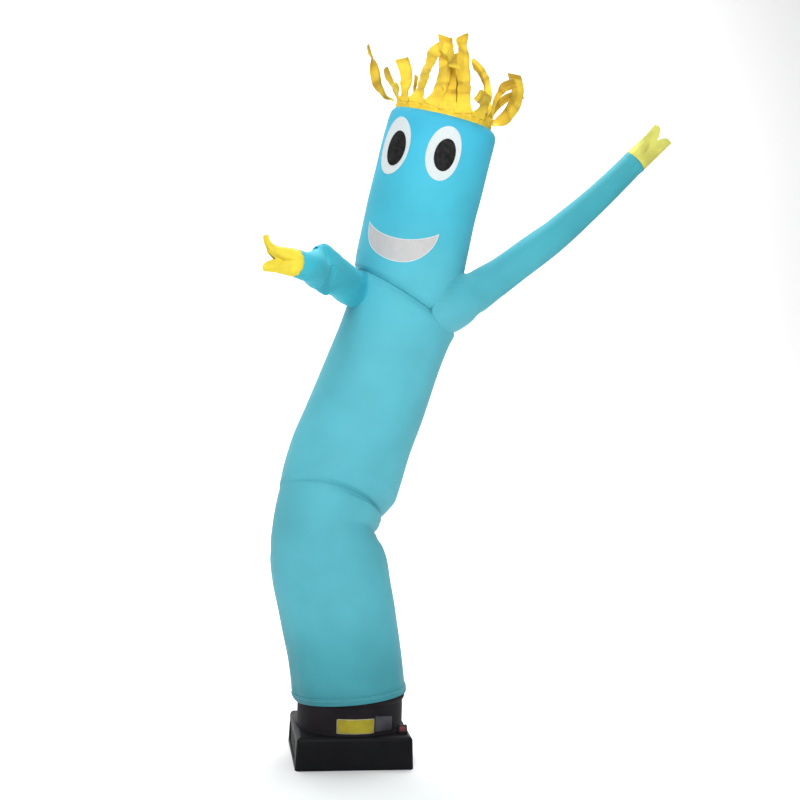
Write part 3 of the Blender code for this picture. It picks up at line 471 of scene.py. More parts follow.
def stitched(name, colour, roughness, mottle=0.08):
    """Applique cloth: one colour with faint marks, and a fine diagonal thread bump."""
    made, nodes, links, shader = new_material(name, colour, roughness, 0.02, 0.3, 1.35)
    place = nodes.new("ShaderNodeTexCoord")
    marks = noise_node(nodes, links, place.outputs["Object"], 55.0, 4.0, 0.65)
    pale = tuple(min(1.0, c * (1 + mottle) + mottle * 0.04) for c in colour)
    dark = tuple(c * (1 - mottle) for c in colour)
    links.new(colour_ramp(nodes, links, marks, [(0.35, dark), (0.7, pale)]), shader.inputs["Base Color"])
    thread = nodes.new("ShaderNodeSeparateXYZ")
    links.new(place.outputs["UV"], thread.inputs[0])
    both = math_node(nodes, links, "ADD", thread.outputs["X"], thread.outputs["Y"])
    wave = math_node(nodes, links, "SINE", math_node(nodes, links, "MULTIPLY", both, 2 * math.pi / 0.0008))
    add_bump(nodes, links, shader, wave, 0.00008, 0.6)
    return made


# Painted light and shade: the tube's colour gets darker and greyer towards the blower and lighter towards the top.
BLUE = [
    (0.15, (0.028, 0.195, 0.235)),
    (0.24, (0.048, 0.300, 0.360)),
    (0.45, (0.084, 0.410, 0.490)),
    (1.10, (0.098, 0.465, 0.555)),
    (1.35, (0.092, 0.480, 0.585)),
    (1.60, (0.060, 0.500, 0.660)),
    (1.85, (0.050, 0.500, 0.730)),
    (1.92, (0.034, 0.450, 0.690)),
]
LIME = [(0.5, (0.78, 0.63, 0.042)), (1.45, (0.78, 0.63, 0.042)), (1.75, (0.62, 0.61, 0.125))]
# Painted light and shade: both sleeves are the tube's cloth, recoloured for the light each one gets. TEAL is
# painted shade on the right sleeve, darker towards its hand.
TEAL = [(1.25, (0.100, 0.470, 0.565)), (1.38, (0.070, 0.410, 0.495)), (1.60, (0.048, 0.365, 0.440))]
ARM = [(1.28, (0.046, 0.460, 0.575)), (1.44, (0.040, 0.490, 0.625))]
GOLD = [(1.8, (0.94, 0.65, 0.046)), (1.95, (0.97, 0.70, 0.058)), (2.1, (0.95, 0.67, 0.050))]
blue_nylon = nylon("blue_nylon", BLUE)
shaded_teal_nylon = nylon("shaded_teal_nylon", TEAL)
arm_nylon = nylon("arm_nylon", ARM)
lime_nylon = nylon("lime_nylon", LIME, mottle=0.10, cloud_scale=20.0)
# Painted shade: the hair's colour darkens towards this ochre in its creases, along its edges and on the ribbons
# round the back.
hair_nylon = nylon("hair_nylon", GOLD, mottle=0.10, cloud_scale=24.0, painted_shade_colour=(0.36, 0.20, 0.012))
white_patch = stitched("white_patch", (0.72, 0.79, 0.80), 0.6, 0.02)
black_patch = stitched("black_patch", (0.0085, 0.0085, 0.0085), 0.55, 0.30)
grey_patch = stitched("grey_patch", (0.58, 0.565, 0.565), 0.6, 0.03)
blue_thread = stitched("blue_thread", (0.16, 0.54, 0.60), 0.5)
lime_thread = stitched("lime_thread", (0.80, 0.68, 0.10), 0.5)
gold_thread = stitched("gold_thread", (0.86, 0.57, 0.05), 0.5)
shell_plastic = moulded_plastic("shell_plastic", (0.0038, 0.0040, 0.0056), 0.50, ior=1.20)
collar_plastic = moulded_plastic("collar_plastic", (0.0128, 0.0113, 0.0134), 0.64, ior=1.15)
grille_plastic = moulded_plastic("grille_plastic", (0.0080, 0.0080, 0.0090), 0.5)
switch_plastic = moulded_plastic("switch_plastic", (0.0050, 0.0050, 0.0060), 0.40)
red_plastic = moulded_plastic("red_plastic", (0.105, 0.006, 0.008), 0.30, grain=0.00002, ior=1.4)
# Painted shade: the yellow plate's colour is darkened below its own yellow, for its low place beside the blower.
shaded_yellow_plate = moulded_plastic("shaded_yellow_plate", (0.285, 0.235, 0.009), 0.35, grain=0.00001, ior=1.35)
pale_plate = moulded_plastic("pale_plate", (0.36, 0.34, 0.20), 0.35, grain=0.00001, ior=1.35)
grey_plate = moulded_plastic("grey_plate", (0.040, 0.038, 0.047), 0.40, grain=0.00001, ior=1.35)
print("materials:", len(bpy.data.materials))

# %% [markdown]
# ## The body tube
#
# The body is one wide tube. Its hem is turned up and stitched, and it sits over the blower's collar. The
# tube bends twice, and cloth that bends has too much length on the inside of the bend, so it folds there.
# Each fold is a trough across the ring positions, strongest at one side and fading round the tube. Small
# puckers stand where a seam draws the cloth in, and wide shallow waves keep the tube from looking turned.

# %% Body tube
AROUND = 160
BODY_STEPS = 9

# Columns: ring_position slant front_angle spread depth width, in rings, rings, degrees, degrees, metres and rings
BODY_FOLDS = (
    (13.05, 0.0, 25, 75, 0.0085, 0.16),
    (13.35, 0.0, -35, 45, 0.0035, 0.20),
    (12.55, 0.0, 60, 30, 0.0040, 0.18),
    (10.15, 0.0, 85, 32, 0.0060, 0.22),
    (9.40, 0.0, 80, 26, 0.0020, 0.25),
    (14.60, 0.0, 80, 30, 0.0020, 0.30),
    (8.60, 0.0, -88, 24, 0.0015, 0.30),
)


def around_to(angle, middle_degrees, spread_degrees):
    """How near an angle is to a fold's middle, round the tube: exp(-(difference / spread)^2)."""
    difference = (angle - math.radians(middle_degrees) + math.pi) % (2 * math.pi) - math.pi
    return np.exp(-((difference / math.radians(spread_degrees)) ** 2))


def folds(table, t, angle):
    """The sum of a fold table's troughs. A trough lies at place - slant cos(angle), with a low roll above it."""
    total = 0
    for level, slant, middle, spread, depth, width in table:
        place = level - slant * np.cos(angle)
        across = bump(t, place, width) - 0.35 * bump(t, place + 2.2 * width, 1.3 * width)
        total = total - depth * across * around_to(angle, middle, spread)
    return total


def undulation(s, angle, size, seed):
    """Wide shallow waves: a fixed sum of products of sines along the tube and round it."""
    rng = np.random.default_rng(seed)
    total = 0
    for turns in (1, 2, 3, 5, 7):
        phase, shift, rate = rng.uniform(0, 2 * math.pi), rng.uniform(0, 2 * math.pi), rng.uniform(4, 15)
        total = total + np.sin(turns * angle + phase + 1.5 * np.sin(rate * s)) * np.sin(rate * s + shift) / turns
    return size * total


def puckers(s, angle, size, reach, count, seed):
    """Short folds that fade from a seam at s = 0: size exp(-s / reach) times an uneven wave round the tube."""
    rng = np.random.default_rng(seed)
    one, two = rng.uniform(0, 2 * math.pi, 2)
    wave = np.sin(count * angle + one + 1.3 * np.sin(3 * angle + two))
    uneven = 0.6 + 0.4 * np.sin(2 * angle + two) * np.sin(5 * angle + one)
    return size * np.exp(-np.abs(s) / reach) * wave * uneven


def shoulder_crease(s):
    """The crease that the shoulder seam draws in, with a low roll of cloth beside it."""
    return 0.0010 * bump(s, 0.026, 0.012) - 0.0042 * bump(s, 0, 0.010)


def body_relief(t, s, angle):
    """How far the body's cloth stands out: hem, puckers, folds and waves."""
    hem = 0.0018 * (1 - ramp(s, 0.019, 0.022)) - 0.0012 * bump(s, 0.0215, 0.0018)
    gathered = puckers(s, angle, 0.0022, 0.030, 24, 3) + puckers(s, angle, 0.0034, 0.110, 7, 4)
    top = s.max(axis=0, keepdims=True) - s
    shoulder = puckers(top, angle, 0.0006, 0.022, 20, 5) + shoulder_crease(top)
    cloth = gathered * ramp(s, 0.0, 0.03) + undulation(s, angle, 0.0014, 6)
    return hem + shoulder + cloth + folds(BODY_FOLDS, t, angle)


def tube_grid(table, steps, relief):
    """A tube's grid of points and its UV map in metres."""
    t = np.linspace(0, len(table) - 1, (len(table) - 1) * steps + 1)
    angle = np.arange(AROUND) * 2 * math.pi / AROUND
    rows = rows_at(table, t)[:, None]
    s = np.broadcast_to(arc_length(ring_points(rows, np.zeros((1, 1)))), (len(t), AROUND))
    grow = relief(t[:, None], s, angle[None])
    points = ring_points(np.broadcast_to(rows, (len(t), AROUND, 8)), np.broadcast_to(angle, s.shape), grow)
    radius = 0.157
    around = np.broadcast_to(np.linspace(0, 2 * math.pi * radius, AROUND + 1), (len(t), AROUND + 1))
    uv = np.stack([around, np.broadcast_to(s[:, :1], around.shape)], -1)
    return points, uv, t, s, angle


body_points, body_uv, body_t, body_s, body_angle = tube_grid(BODY_RINGS, BODY_STEPS, body_relief)
body_cloth = thicken(grid_object("body_tube_cloth", turned(body_points), body_uv, True, blue_nylon))
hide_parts("body_tube")
print("body cloth:", len(body_cloth.data.polygons), "faces,", round(area_of(body_cloth), 3), "m2")

# %% [markdown]
# ## The head tube
#
# The head is sewn to the body along a slanting seam that shows as a crease over the shoulder. It rises
# to a turned-in top edge, and the ribbons' band is sewn there. The face patches have to lie on exactly
# this surface, so its point is a formula of the arc round the head and the height up it.

# %% Head tube
HEAD_STEPS = 13

# Columns: ring_position slant front_angle spread depth width
HEAD_FOLDS = (
    (0.60, 0.0, 70, 40, 0.0030, 0.30),
    (1.30, 0.0, 78, 26, 0.0030, 0.30),
    (0.50, 0.0, -70, 30, 0.0020, 0.25),
)


def head_relief(t, s, angle):
    """How far the head's cloth stands out of its rings."""
    top = 10.6 - t
    seam = puckers(s, angle, 0.0006, 0.020, 20, 8) + shoulder_crease(s)
    hairline = puckers(top, angle, 0.0009, 0.9, 30, 9)
    return seam + hairline + folds(HEAD_FOLDS, t, angle) + undulation(s, angle, 0.0010, 10)


def head_level(t):
    """A ring's height above the shoulder seam, at its middle."""
    rows = rows_at(HEAD_RINGS, t)
    level = (rows[..., 1] + rows[..., 3]) / 2
    return level - (HEAD_RINGS[0, 1] + HEAD_RINGS[0, 3]) / 2


def head_front_run():
    """The running length up the head's front line, and the ring positions that it is measured at."""
    t = np.linspace(0, len(HEAD_RINGS) - 1, 400)
    return t, arc_length(ring_points(rows_at(HEAD_RINGS, t), np.zeros(400)))


def head_surface(arc, height, lift):
    """The head cloth's point at an arc round it and a height above the seam, lifted off by a little."""
    t_known, s_known = head_front_run()
    t = np.interp(height, head_level(t_known), t_known)
    rows = rows_at(HEAD_RINGS, t)
    angle = arc / ((rows[..., 2] - rows[..., 0]) / 2)
    return ring_points(rows, angle, head_relief(t, np.interp(t, t_known, s_known), angle) + lift)


head_points, head_uv, head_t, head_s, head_angle = tube_grid(HEAD_RINGS, HEAD_STEPS, head_relief)
head_cloth = thicken(grid_object("head_tube_cloth", turned(head_points), head_uv, True, blue_nylon))
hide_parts("head_tube")
print("head cloth:", len(head_cloth.data.polygons), "faces,", round(area_of(head_cloth), 3), "m2")

# %% [markdown]
# ## The sleeves
#
# Each sleeve is a tapering tube sewn into an armhole. Its end has to meet the figure all round, so it
# starts where it comes out of the figure: a point's ring is the one whose plane holds it, and the point
# is outside when its share of that ring's radius is over one. The left sleeve swings towards the viewer
# and folds at its elbow, where the air has left it for a moment.

# %% Sleeves
AROUND_SLEEVE = 96
SLEEVE_ROWS = 150

# Columns: ring_position slant angle spread depth width, where angle 0 is the sleeve's top
RIGHT_FOLDS = (
    (3.00, 0.2, 0, 60, 0.0020, 0.30),
    (6.10, 0.0, 10, 60, 0.0012, 0.30),
    (8.20, 0.2, 60, 50, 0.0010, 0.14),
    (2.10, 0.0, 180, 50, 0.0030, 0.35),
)
LEFT_FOLDS = (
    (7.70, 0.0, 0, 40, -0.0060, 0.90),
    (6.90, 1.1, 105, 62, 0.0085, 0.20),
    (7.40, 0.0, 180, 45, 0.0105, 0.90),
    (9.90, -0.2, 200, 60, 0.0040, 0.16),
    (3.30, -0.4, 20, 30, 0.0030, 0.14),
    (2.60, 0.3, 60, 40, 0.0028, 0.12),
    (8.60, 0.2, -60, 60, 0.0030, 0.14),
)
# Columns: ring_position width corners size
RIGHT_FACETS = (9.0, 1.2, 5, 0.010)
LEFT_FACETS = (5.9, 2.2, 4, 0.034)
FIGURE_RINGS = np.vstack([BODY_RINGS, HEAD_RINGS[1:]])


def frames_at(table, t):
    """A sleeve's centre, its direction, the most upright line across it and the line to its side."""
    rows = rows_at(table, t)
    along = rows_at(table, t + 0.02)[..., :3] - rows_at(table, t - 0.02)[..., :3]
    along /= np.linalg.norm(along, axis=-1, keepdims=True)
    side = np.cross(along, (0.0, 0.0, 1.0))
    side /= np.linalg.norm(side, axis=-1, keepdims=True)
    return rows, along, np.cross(side, along), side


def share_of_figure(points):
    """A point's distance from the figure's middle line as a share of the radius there, and that middle.
    A share under 1 is inside the figure."""
    levels = np.linspace(0, len(FIGURE_RINGS) - 1, 1500)
    middle, side, front = ring_vectors(rows_at(FIGURE_RINGS, levels))
    normal = np.cross(side, -front)
    normal /= np.linalg.norm(normal, axis=-1, keepdims=True)
    above = points @ normal.T - (middle * normal).sum(-1)
    change = (above[:, :-1] >= 0) & (above[:, 1:] < 0)
    k = np.where(change.any(1), change.argmax(1), 0)
    n = np.arange(len(points))
    f = above[n, k] / (above[n, k] - above[n, k + 1])
    middle, side, front = ring_vectors(rows_at(FIGURE_RINGS, levels[k] + f * (levels[1] - levels[0])))
    offset = points - middle
    ss, ff, sf = (side * side).sum(-1), (front * front).sum(-1), (side * front).sum(-1)
    os, of = (offset * side).sum(-1), (offset * front).sum(-1)
    u = (os * ff - of * sf) / (ss * ff - sf * sf)
    v = (of * ss - os * sf) / (ss * ff - sf * sf)
    return np.hypot(u, v)[:, None], middle


def sleeve_surface(table, t, angle, relief):
    """centre + (half_height + relief) upright cos(angle) - (half_width + relief) side sin(angle)."""
    rows, _, upright, side = frames_at(table, t)
    high = ((rows[..., 3] + relief) * np.cos(angle))[..., None] * upright
    wide = ((rows[..., 4] + relief) * np.sin(angle))[..., None] * side
    return rows[..., :3] + high - wide


def sleeve_start(table, angle):
    """The ring position at which each line along the sleeve leaves the figure."""
    t = np.linspace(0.0, 3.6, 110)
    grid_t, grid_angle = np.meshgrid(t, angle, indexing="ij")
    points = sleeve_surface(table, grid_t, grid_angle, 0.0)
    share = share_of_figure(points.reshape(-1, 3))[0].reshape(grid_t.shape)
    after = np.maximum(np.argmax(share > 1.0, axis=0), 1)
    column = np.arange(len(angle))
    low, high = share[after - 1, column], share[after, column]
    return t[after - 1] + (t[after] - t[after - 1]) * np.clip((1 - low) / (high - low), 0, 1)


def settled(points, near, rows=60):
    """Lays a sleeve's foot on the figure: scales the points from the figure's middle, all the way at near = 1.
    The weight 3 near^2 - 2 near^3 starts off level, so the cloth leaves the figure without a crease, and its
    last few millimetres dive into the seam."""
    foot = points[:rows].reshape(-1, 3)
    share, middle = share_of_figure(foot)
    sunk = 1.004 - 0.030 * ramp(near[:rows], 0.72, 1).reshape(-1, 1)
    on_figure = middle + (foot - middle) * (sunk / share)
    weight = ramp(near[:rows], 0, 1).reshape(-1, 1)
    points[:rows] = (foot + (on_figure - foot) * weight).reshape(rows, -1, 3)
    return points


def flare(table, t, angle, size):
    """The fillet's radius round a sleeve's foot. It is largest where the sleeve stands square to the figure."""
    foot = sleeve_surface(table, t, angle, 0.0)
    _, middle = share_of_figure(foot)
    out = (foot - middle) / np.linalg.norm(foot - middle, axis=-1, keepdims=True)
    centre = rows_at(table, t)[..., :3]
    round_arm = (foot - centre) / np.linalg.norm(foot - centre, axis=-1, keepdims=True)
    slope = 1 - (out * round_arm).sum(-1) ** 2
    return 0.003 + size * slope * np.abs(np.sin(angle))


def facets(row, t, angle):
    """How far a round sleeve is pressed in to a polygon near one ring: cos(pi / n) / cos(offset) - 1."""
    level, width, corners, size = row
    step = 2 * math.pi / corners
    offset = (angle + 0.22 * np.sin(1.3 * t)) % step - step / 2
    return size * bump(t, level, width) * (math.cos(step / 2) / np.cos(offset) - 1)


def sleeve_cloth(name, table, fold_table, facet_row, finish, seed, flare_size, seam_size):
    """A sleeve from its armhole to its cuff. Returns the object and the grid that it is made of.
    Its foot spreads on to the figure by radius (1 - s / radius)^2."""
    angle = np.arange(AROUND_SLEEVE) * 2 * math.pi / AROUND_SLEEVE
    start = sleeve_start(table, angle)
    smoothed = (np.roll(start, 1) + start + np.roll(start, -1)) / 3
    share = np.linspace(0, 1, SLEEVE_ROWS)[:, None]
    t = smoothed[None] + (len(table) - 1 - smoothed[None]) * share
    grid_angle = np.broadcast_to(angle, t.shape)
    s = arc_length(sleeve_surface(table, t, grid_angle, 0.0))
    left = s[-1:] - s
    relief = folds(fold_table, t, grid_angle) + undulation(s, grid_angle, 0.0007, seed)
    relief = (relief + facets(facet_row, t, grid_angle)) * ramp(s, 0.0, 0.03) * ramp(left, 0.0, 0.02)
    relief = relief + puckers(s, grid_angle, seam_size, 0.018, 17, seed + 1)
    relief = relief + puckers(left, grid_angle, 0.0010, 0.014, 13, seed + 2)
    radius = flare(table, smoothed, angle, flare_size)[None]
    near = np.clip(1 - s / (1.6 * radius), 0, 1)
    relief = relief + radius * near**2
    points = settled(sleeve_surface(table, t, grid_angle, relief), near)
    around = np.linspace(0, 2 * math.pi * 0.045, AROUND_SLEEVE + 1)
    uv = np.stack(np.broadcast_arrays(around, np.concatenate([s, s[:, :1]], 1)), -1)
    made = thicken(grid_object(name, turned(points), uv, True, finish))
    return made, points


right_sleeve, right_points = sleeve_cloth(
    "right_sleeve_cloth", RIGHT_SLEEVE, RIGHT_FOLDS, RIGHT_FACETS, shaded_teal_nylon, 21, 0.045, 0.0003
)
left_sleeve, left_points = sleeve_cloth(
    "left_sleeve_cloth", LEFT_SLEEVE, LEFT_FOLDS, LEFT_FACETS, arm_nylon, 31, 0.002, 0.0006
)
sleeves = ((right_sleeve, "right_sleeve", (0.36, 0.68)), (left_sleeve, "left_sleeve", (0.34, 0.66)))
for made, node, flat in sleeves:
    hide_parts(node)

# %% [markdown]
# ## The hands
#
# A hand is a short cuff of yellow nylon on the sleeve's end. Its end is cut into two fingers with a notch
# between them. Air leaves there, so the cuff flattens and the fingers flutter. The tube's end is longest
# along each finger, and past its root a finger runs along an arc of its own bend.

# %% Hands
AROUND_HAND = 96
HAND_ROWS = 44
HAND_TURN_SHARE = 0.5
FINGER_ROOT_SHARE = 0.42
NOTCH_SHARPNESS = 4
NOTCH_FADE = 6


def hand_surface(table, hand, heading, share, angle, relief):
    """The cuff's points: its middle line turns from the sleeve's direction to the hand's, and each finger
    runs on by sin(turn) / curvature ahead and (1 - cos(turn)) / curvature up."""
    upper_length, lower_length, notch_length, tip_height, tip_width, upper_bend, lower_bend = hand
    last, along, upright, side = (v[0] for v in frames_at(table, np.array([len(table) - 1.0])))
    heights = np.cos(angle)
    finger = np.where(heights > 0, upper_length, lower_length)
    reach = finger - (finger - notch_length) * (1 - np.abs(heights)) ** NOTCH_SHARPNESS
    ease = share**2 * (3 - 2 * share)
    half_height = last[3] + (tip_height - last[3]) * ease + relief
    half_width = last[4] + (tip_width - last[4]) * np.minimum(1.0, 1.6 * ease) + relief
    up, wide = half_height * heights, half_width * np.sin(angle)
    aim = np.array(heading) / np.linalg.norm(heading)
    lean = ramp(share, 0, HAND_TURN_SHARE)[..., None]
    course = along * (1 - lean) + aim * lean
    course /= np.linalg.norm(course, axis=-1, keepdims=True)
    out = side - course * (course @ side)[..., None]
    out /= np.linalg.norm(out, axis=-1, keepdims=True)
    top = np.cross(out, course)
    steps = np.diff(share, axis=0, prepend=0)[..., None] * reach[..., None]
    spine = np.cumsum(steps * course, axis=0) + along * SEAM_GAP
    past = np.maximum(share - FINGER_ROOT_SHARE, 0) * reach
    bend = np.radians(np.where(heights > 0, upper_bend, lower_bend)) * np.minimum(1, np.abs(heights) * NOTCH_FADE)
    turn = bend * past / (reach * (1 - FINGER_ROOT_SHARE))
    run = past * np.sinc(turn / math.pi)
    rise = past * turn / 2 * np.sinc(turn / (2 * math.pi)) ** 2
    centre = half_height * np.sign(np.round(heights, 6)) / 2
    offset = up - centre
    ahead = run - past - offset * np.sin(turn)
    above = centre + rise + offset * np.cos(turn)
    return last[:3] + spine + ahead[..., None] * course + above[..., None] * top - wide[..., None] * out


def hand_cloth(name, table, hand, heading, finish, seed):
    """One hand with soft creases that run along it, deeper towards the fingers' ends."""
    angle = np.arange(AROUND_HAND) * 2 * math.pi / AROUND_HAND
    share, grid_angle = np.meshgrid(np.linspace(0, 1, HAND_ROWS), angle, indexing="ij")
    creases = 0.0011 * ramp(share, 0.1, 0.9) * np.sin(9 * grid_angle + 2.5 * np.sin(4 * share + seed))
    seam = puckers(share * 0.11, grid_angle, 0.0010, 0.014, 13, seed)
    points = hand_surface(table, hand, heading, share, grid_angle, creases + seam)
    around = np.broadcast_to(np.linspace(0, 0.21, AROUND_HAND + 1), (HAND_ROWS, AROUND_HAND + 1))
    uv = np.stack([around, np.broadcast_to(share[:, :1] * 0.11, around.shape)], -1)
    return thicken(grid_object(name, turned(points), uv, True, finish), 0.0008), points


right_hand, right_hand_points = hand_cloth(
    "right_hand_cloth", RIGHT_SLEEVE, RIGHT_HAND, RIGHT_HEADING, lime_nylon, 41
)
left_hand, left_hand_points = hand_cloth(
    "left_hand_cloth", LEFT_SLEEVE, LEFT_HAND, LEFT_HEADING, lime_nylon, 51
)
hands = ((right_hand, "right", (0.22, 0.12)), (left_hand, "left", (0.22, 0.112)))
for made, side_name, flat in hands:
    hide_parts(f"{side_name}_hand")

# %% [markdown]
# ## The face
#
# The eyes and the mouth are patches of cloth sewn flat on the head, each with a close zigzag of thread
# over its edge. An oval patch is a square grid squeezed into a disc, which keeps its middle free of a
# pole: x = u sqrt(1 - v^2 / 2) and y = v sqrt(1 - u^2 / 2). The mouth is two arcs that share their tips.
# The thread's edge is a flat bead carried along the outline.

# %% Face patches
PATCH = 0.0007
PATCH_LIFT = 0.0003


def patch_object(name, arcs, heights, lift, finish, node, slot, thickness=PATCH):
    """A sheet on the head through a grid of (arc, height)."""
    points = head_surface(arcs, heights, lift)
    uv = np.stack([arcs, heights], -1)
    made = thicken(grid_object(name, turned(points), uv, False, finish), thickness, 1.0)
    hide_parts(node)
    return made


def oval_grid(row, size=40):
    """The (arc, height) grid of an oval patch."""
    arc, height, half_width, half_height, tilt = row
    line = np.linspace(-1, 1, size)
    u, v = np.meshgrid(line, line)
    x, y = half_width * u * np.sqrt(1 - v * v / 2), half_height * v * np.sqrt(1 - u * u / 2)
    lean = math.radians(tilt)
    return arc + x * math.cos(lean) - y * math.sin(lean), height + x * math.sin(lean) + y * math.cos(lean)


def oval_outline(row, count):
    arc, height, half_width, half_height, tilt = row
    turn = np.arange(count) * 2 * math.pi / count
    x, y, lean = half_width * np.cos(turn), half_height * np.sin(turn), math.radians(tilt)
    return arc + x * math.cos(lean) - y * math.sin(lean), height + x * math.sin(lean) + y * math.cos(lean)


def mouth_edges(share):
    """The mouth's arc, and the heights of its upper and lower edges, at a share from its left tip."""
    left_arc, left_height, right_arc, right_height, upper_sag, lower_sag = MOUTH
    chord = left_height + (right_height - left_height) * share
    bow = np.sin(math.pi * share) ** 0.8
    upper = chord - upper_sag * bow
    thickness = np.maximum(lower_sag * np.sin(math.pi * share) ** 0.5 - upper_sag * bow, 0.003)
    return left_arc + (right_arc - left_arc) * share, upper, upper - thickness


def bead(name, arcs, heights, lift, half_width, height, finish, pitch=0.0011):
    """A flat bead round a closed outline on the head, notched across by each thread of its zigzag."""
    base = head_surface(arcs, heights, lift)
    normal = head_surface(arcs, heights, lift + 0.001) - base
    normal /= np.linalg.norm(normal, axis=-1, keepdims=True)
    tangent = np.roll(base, -1, 0) - np.roll(base, 1, 0)
    tangent /= np.linalg.norm(tangent, axis=-1, keepdims=True)
    across = np.cross(normal, tangent)
    run = arc_length(base)
    notch = 1 - 0.22 * (0.5 + 0.5 * np.cos(2 * math.pi * run / pitch))
    turn = np.linspace(0, 2 * math.pi, 12, endpoint=False)[None]
    flat = (half_width * notch)[:, None] * np.cos(turn)
    high = (height * notch)[:, None] * np.sin(turn)
    points = base[:, None] + across[:, None] * flat[..., None] + normal[:, None] * high[..., None]
    uv = np.stack(np.broadcast_arrays(np.append(run, run[-1] + 0.001)[:, None], np.linspace(0, 0.006, 13)), -1)
    return grid_object(name, turned(points), uv, True, finish, looped=True)


on_eye = PATCH_LIFT + PATCH + 0.0002
ovals = (
    ("left_eye_white_patch", LEFT_EYE, PATCH_LIFT, white_patch, "left_eye_white", "eye_white"),
    ("right_eye_white_patch", RIGHT_EYE, PATCH_LIFT, white_patch, "right_eye_white", "eye_white"),
    ("left_pupil_patch", LEFT_PUPIL, on_eye, black_patch, "left_pupil", "eye_black"),
    ("right_pupil_patch", RIGHT_PUPIL, on_eye, black_patch, "right_pupil", "eye_black"),
)
for name, row, lift, finish, node, slot in ovals:
    made = patch_object(name, *oval_grid(row), lift, finish, node, slot)
    flat = (round(2 * row[2], 4), round(2 * row[3], 4))
    edge_name = name.replace("patch", "edge")
    edge = bead(edge_name, *oval_outline(row, 1400), lift + PATCH, 0.0017, 0.0006, finish)
    print(name, "flat size", flat, "m, edge of", len(edge.data.polygons), "faces")

share = (1 - np.cos(np.linspace(0, math.pi, 90))) / 2
mouth_arc, mouth_top, mouth_bottom = mouth_edges(share)
mouth_heights = mouth_bottom + (mouth_top - mouth_bottom) * np.linspace(0, 1, 24)[:, None]
mouth_arcs = np.broadcast_to(mouth_arc, mouth_heights.shape)
mouth = patch_object(
    "mouth_patch_cloth", mouth_arcs, mouth_heights, PATCH_LIFT, grey_patch, "mouth_patch", "mouth_white"
)
fine = (1 - np.cos(np.linspace(0, math.pi, 700))) / 2
fine_arc, fine_top, fine_bottom = mouth_edges(fine)
loop_arc = np.concatenate([fine_arc, fine_arc[::-1][1:-1]])
loop_height = np.concatenate([fine_bottom, fine_top[::-1][1:-1]])
mouth_edge = bead("mouth_edge", loop_arc, loop_height, PATCH_LIFT + PATCH, 0.0013, 0.0006, white_patch)

# %% [markdown]
# ## The hair
#
# The fringe is one strip of golden nylon. Its lower edge is a band sewn round the hairline, and above
# the band it is cut into ribbons that the leaving air throws about. A ribbon's path runs on by equal
# steps, and its direction passes evenly from one section's lean and sweep to the next. Its width is
# carried along from step to step, kept square to the path, and then twisted. Each ribbon is cupped a
# little, its edges flutter, and it is creased across where it has been folded. Painted shade darkens its
# crease valleys, one side of its lengthwise fold, its edges, the ribbons round the back and the band's pleats.

# %% Hair fringe
RIBBON_STEPS = 90
RIBBON_ACROSS = 13


def hairline():
    """The middle of the hairline ring, its side and front half vectors, and the direction out of it."""
    middle, side, front = ring_vectors(HEAD_RINGS[-1])
    up = -np.cross(side, front)
    return middle, side, front, up / np.linalg.norm(up)


def band_surface(angle, height, outwards):
    """The band's point at an angle round the hairline and a height above it, moved out by a little."""
    middle, side, front, up = hairline()
    spoke = front * np.cos(angle)[..., None] + side * np.sin(angle)[..., None]
    out = spoke / np.linalg.norm(spoke, axis=-1, keepdims=True)
    return middle + spoke + up * (SEAM_GAP + height)[..., None] + out * (outwards - 0.06 * height)[..., None]


def ribbon_path(row, start):
    """The points of a ribbon's middle line, and the unit lines along it, across it and out of it."""
    angle, _, sections = row
    turn = math.radians(angle)
    _, side, front, up = hairline()
    out = front * math.cos(turn) + side * math.sin(turn)
    out /= np.linalg.norm(out)
    across = side * math.cos(turn) - front * math.sin(turn)
    across /= np.linalg.norm(across)
    lengths, leans, sweeps, twists = np.array(sections).T
    middles = np.cumsum(lengths) - lengths / 2
    spot = np.linspace(0, lengths.sum(), RIBBON_STEPS)
    lean = np.radians(np.interp(spot, middles, leans))
    sweep = np.radians(np.interp(spot, middles, sweeps))
    spin = np.radians(np.interp(spot, [0, *middles], [0, *twists]))
    level = (np.cos(lean) * np.cos(sweep))[:, None] * up + (np.sin(lean) * np.cos(sweep))[:, None] * out
    along = level + np.sin(sweep)[:, None] * across
    points = start + np.vstack([np.zeros(3), np.cumsum(along[1:] * (spot[1] - spot[0]), axis=0)])
    wide = np.empty_like(along)
    carried = across
    for i, heading in enumerate(along):
        carried = carried - heading * (carried @ heading)
        carried /= np.linalg.norm(carried)
        wide[i] = carried
    flat = np.cross(along, wide)
    c, s = np.cos(spin)[:, None], np.sin(spin)[:, None]
    return points, spot, wide * c + flat * s, flat * c - wide * s


